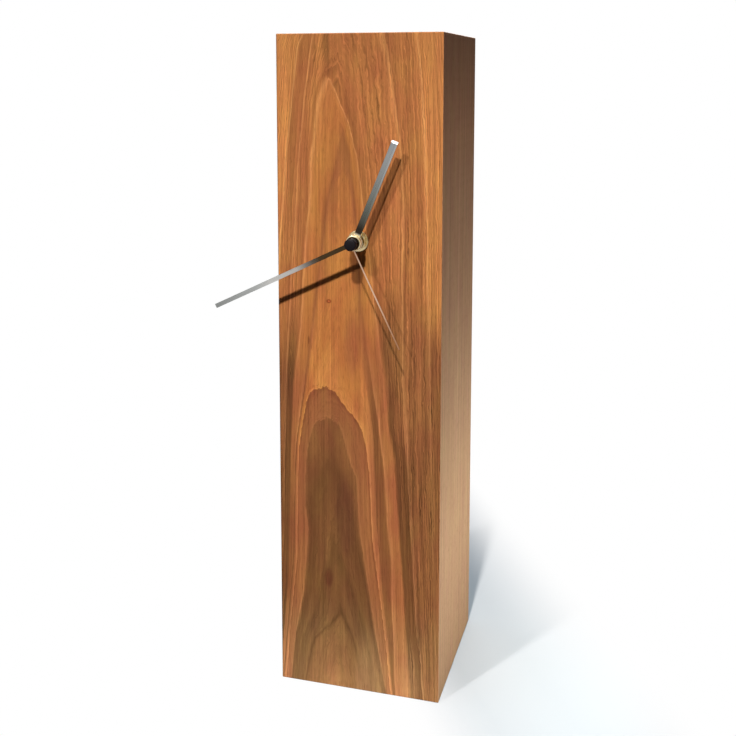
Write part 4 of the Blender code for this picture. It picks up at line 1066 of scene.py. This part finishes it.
# The hour hand is a flat bar of satin steel, cut off square at the tip and bevelled there at 30 degrees.
# Its round boss is bored for the brass collet, whose flange holds the hand on the hour pipe.
def satin_metal(name, angle, stops, roughness, painted_edge_highlight=(0.0, 1.0, 1.0, 1.0)):
    """Steel brushed along the hand: tone and sheen follow fine lines along it. The colour at each distance
    from the hub comes from stops written in millimetres, which give the metal's colour with painted
    reflections along the hand. The last argument, a span across the hand, can lighten one edge as a
    painted highlight."""
    material, tree, shader = new_material(name)
    off_hub = from_hub(tree)
    east, north = 1000.0 * math.sin(angle), 1000.0 * math.cos(angle)
    out = vector("DOT_PRODUCT", off_hub, (east, 0.0, north))
    sideways = vector("DOT_PRODUCT", off_hub, (north, 0.0, -east))
    lines = noise(combined(sideways * 5.0, out * 0.06), 1.0, 3.0, 0.6)
    value = remap(lines, 0.2, 0.8, 0.86, 1.14) * remap(sideways, *painted_edge_highlight)
    toned = add(tree, "HueSaturation", {"Hue": 0.5, "Saturation": 1.0, "Value": value,
                                        "Color": ramp(out, stops, 0.0, stops[-1][0])})[0]
    feed(shader, {"Base Color": toned, "Metallic": 1.0, "Normal": raised(lines, 0.000006, 0.4),
                  "Roughness": remap(lines, 0.2, 0.8, roughness - 0.07, roughness + 0.07)})
    return material


def hand_outline(boss, half_width, length, shoulder, steps=48):
    """A bar that runs up from a round boss about the hub: an arc round the boss, then the left edge to the
    shoulder, the two corners of the tip, and back to the shoulder on the right."""
    meet = math.asin(half_width / boss)
    turn = np.linspace(meet, math.tau - meet, steps)
    arc = np.stack([boss * np.sin(turn), boss * np.cos(turn)], -1)
    bar = [(-half_width, shoulder), (-half_width, length), (half_width, length), (half_width, shoulder)]
    return np.concatenate([arc, bar])


def flat_hand(name, node, boss, bore, width, length, angle, chamfer, bevel, material):
    """A hand between the front and back of its CAD node: six loops of the outline, from the bore round the
    back, the chamfered edges and the front, with the tip's front edge cut back by the bevel."""
    back, front, _ = over_face(node)
    shoulder = length - bevel
    half = width / 2
    full = hand_outline(boss, half, length, shoulder)
    round_bore = bore * full / np.linalg.norm(full, axis=1)[:, None]
    under = hand_outline(boss - chamfer, half - chamfer, length - chamfer, shoulder)
    upper = hand_outline(boss - chamfer, half - chamfer, shoulder, shoulder)
    level = np.full(len(full), front - chamfer)
    level[-3:-1] = back + 2.0 * chamfer
    loops = [(round_bore, back), (under, back), (full, back + chamfer), (full, level), (upper, front),
             (round_bore, front)]
    x, y, z = np.concatenate([np.column_stack([loop, np.broadcast_to(height, len(loop))])
                              for loop, height in loops]).T
    aimed_up = np.stack([x * math.cos(angle) + y * math.sin(angle),
                         y * math.cos(angle) - x * math.sin(angle), z], -1)
    return solid(name, on_front(aimed_up), grid_faces(len(loops), len(full), True, True), material, 20)


hour_angle, hour_length = math.radians(22.3), 0.0637
# The hour hand's stops paint its light: a painted highlight over the boss, and a painted reflection from dark
# at the root to bright at the tip. The last span is a painted highlight along its right edge.
hour_steel = satin_metal("hour_steel", hour_angle, (
    (0.0, 232, 222, 198), (5.2, 228, 216, 188), (6.2, 58, 50, 42), (9.0, 52, 46, 38), (14.0, 84, 82, 74),
    (22.0, 106, 108, 100), (30.0, 124, 126, 120), (42.0, 146, 148, 146), (54.0, 160, 160, 158),
    (64.0, 156, 160, 162)), 0.3, (0.9, 1.6, 1.0, 1.4))
collet_radius = 0.003372
hour_bar = flat_hand("hour_bar", "hour_hand", 0.0049, collet_radius + gap, 0.0039, hour_length, hour_angle,
                     0.00012, 0.0013, hour_steel)
fitted(hour_bar, "hour", "satin_steel", "hour_hand")
collet_back, collet_front, rim = over_face("hour_hand_collet")
rim_thickness, edge = 0.0016, 0.0003
rim_back = collet_front - rim_thickness
fit_turned("collet", [
    (hour_pipe_bore, collet_back), (collet_radius, collet_back), (collet_radius, rim_back),
    (rim - edge, rim_back), (rim, rim_back + edge), (rim, collet_front - edge),
    (rim - edge / 3, collet_front - edge / 3), (rim - edge, collet_front),
    (hour_pipe_bore + edge, collet_front), (hour_pipe_bore, collet_front - edge)],
    96, brass, 30, "hour", "brass", "hour_hand_collet")

# The minute hand is a longer and narrower bar of the same steel, held on its pipe by a polished black
# round nut with two flats for a spanner.
minute_angle, minute_length = math.radians(244.1), 0.0954
# The minute hand's stops are its steel with a painted reflection: dark near the hub, brightest in the middle
# and greyer towards the tip.
minute_steel = satin_metal("minute_steel", minute_angle, (
    (0.0, 70, 56, 36), (22.0, 78, 62, 42), (27.0, 100, 92, 82), (32.0, 142, 136, 130), (38.0, 196, 190, 184),
    (56.0, 212, 210, 206), (66.0, 186, 188, 186), (96.0, 150, 152, 150)), 0.3)
minute_bore = 0.001872
minute_bar = flat_hand("minute_bar", "minute_hand", 0.0040, minute_bore, 0.0026, minute_length, minute_angle,
                       0.00010, 0.0002, minute_steel)
fitted(minute_bar, "minute", "satin_steel", "minute_hand")
gloss_black, tree, shader = new_material("polished_black")
dust = noise(add(tree, "TexCoord")["Object"], 1500.0, 3.0)
feed(shader, {"Base Color": ramp(dust, ((0.3, 17, 15, 20), (0.75, 30, 27, 34))),
              "Roughness": remap(dust, 0.3, 0.8, 0.20, 0.34)})
points, faces = turned(ring_of("minute_hand_nut", minute_bore, 0.0004), 72)
spanner_half, uncut_radius = 0.00315, 0.0030
outside = np.hypot(points[:, 0], points[:, 1]) > uncut_radius
points[:, 0] = np.where(outside, np.clip(points[:, 0], -spanner_half, spanner_half), points[:, 0])
fitted(solid("round_nut", on_front(points), faces, gloss_black, 30), "minute", "gloss_black", "minute_hand_nut")

# The second hand is a thin pale copper-toned strip, pushed on the seconds arbor under a black cap with a
# shallow dome.
second_angle, second_length = math.radians(154.4), 0.0660
# The second hand's stops are its copper tone with a painted highlight that pales its middle.
copper_steel = satin_metal("copper_steel", second_angle, (
    (0.0, 180, 148, 124), (6.0, 200, 166, 140), (20.0, 232, 196, 168), (34.0, 236, 204, 178),
    (46.0, 214, 174, 144), (56.0, 192, 148, 116), (66.0, 176, 130, 98)), 0.32)
second_bore = 0.0009
second_strip = flat_hand("second_strip", "second_hand", 0.0028, second_bore, 0.00078, second_length,
                         second_angle, 0.00006, 0.0002, copper_steel)
fitted(second_strip, "second", "copper_steel", "second_hand")
cap_back, cap_front, cap_radius = over_face("second_hand_cap")
crown, edge, hole_depth = 0.0009, 0.0002, 0.0014
hole_end = cap_back + hole_depth
turn = np.linspace(0.0, math.pi / 2, 13)
dome = zip(cap_radius * np.cos(turn), cap_front - crown + crown * np.sin(turn))
cap_black = moulded("cap_black", (20, 15, 18), 0.50, 0.12)
fit_turned("domed_cap", [
    (second_bore, hole_end), (second_bore, cap_back), (cap_radius - edge, cap_back),
    (cap_radius, cap_back + edge), *dome, (0.0, hole_end)],
    72, cap_black, 50, "second", "gloss_black", "second_hand_cap")

# The battery is a size AA cell in a dark grey sleeve with pale bands. Its bare steel ends are the flat
# base and the shoulder with the nub, and the sleeve is rolled in over both.
jacket, tree, shader = new_material("cell_sleeve")
grain, across, depth, along = millimetres(tree)
off_y, off_z = depth - 1000.0 * cell_middle.y, along - 1000.0 * cell_middle.z
from_axis = calc("SQRT", calc("POWER", off_y, 2.0) + calc("POWER", off_z, 2.0))
scuffs = noise(grain, 0.8, 4.0)
sleeve = ramp(scuffs, ((0.3, 46, 48, 52), (0.7, 62, 64, 68)))
pale, grey, bare_steel = (196, 194, 186), (150, 150, 146), tint(196, 196, 194)
for low_x, high_x, paint in ((15.5, 22.0, pale), (13.9, 14.6, pale), (-22.4, -20.6, grey)):
    band = calc("GREATER_THAN", across, low_x) * calc("LESS_THAN", across, high_x)
    sleeve = blended(band, sleeve, tint(*paint))
bare = calc("LESS_THAN", from_axis, 6.35)
feed(shader, {"Base Color": blended(bare, sleeve, bare_steel), "Metallic": bare,
              "Roughness": remap(scuffs, 0.3, 0.7, 0.24, 0.36)})
cell_radius = (cell_high.z - cell_low.z) / 2
left_x, right_x = cell_low.x, cell_high.x
nub_radius, base_radius, bare_radius, sleeve_mouth = 0.00275, 0.0060, 0.0062, 0.0064
roll, nub_length, groove, nub_edge = 0.0006, 0.0010, 0.0003, 0.0002
base = left_x + 0.0001
body_end = right_x - nub_length
points, faces = turned([
    (0.0, base), (base_radius, base), (bare_radius, left_x + groove), (sleeve_mouth, left_x),
    (cell_radius - roll, left_x), (cell_radius - 0.3 * roll, left_x + 0.3 * roll), (cell_radius, left_x + roll),
    (cell_radius, body_end - roll), (cell_radius - 0.3 * roll, body_end - 0.3 * roll),
    (cell_radius - roll, body_end), (sleeve_mouth, body_end), (bare_radius, body_end - groove),
    (0.0034, body_end - nub_edge), (nub_radius, body_end), (nub_radius, right_x - nub_edge),
    (nub_radius - nub_edge, right_x), (0.0, right_x)], 72)
cell = np.stack([points[:, 2], cell_middle.y + points[:, 0], cell_middle.z + points[:, 1]], -1)
fitted(solid("aa_cell", cell, faces, jacket, 35), "battery_cell", "battery_jacket", "battery")

# The hatch is walnut to match the back, with a round finger hole low in the middle and four blind holes in
# its inner face for the keepers.
hatch_board = solid("hatch_board", *block(hatch_low, hatch_high), straight_walnut("walnut_hatch", *back_look))
hatch_middle = (hatch_low + hatch_high) / 2
finger_radius, finger_drop = 0.009, 0.045
points, faces = plug(finger_radius, hatch_low.y - half_case - arris, arris, 96)
carved(hatch_board, [(on_back(points, (hatch_middle.x, hatch_middle.z - finger_drop)), faces),
                     *disc_holes(keepers, arris, gap)])
bevelled(hatch_board, 0.0003, 60)
fitted(hatch_board, "hatch", "walnut_hatch", "rear_hatch")
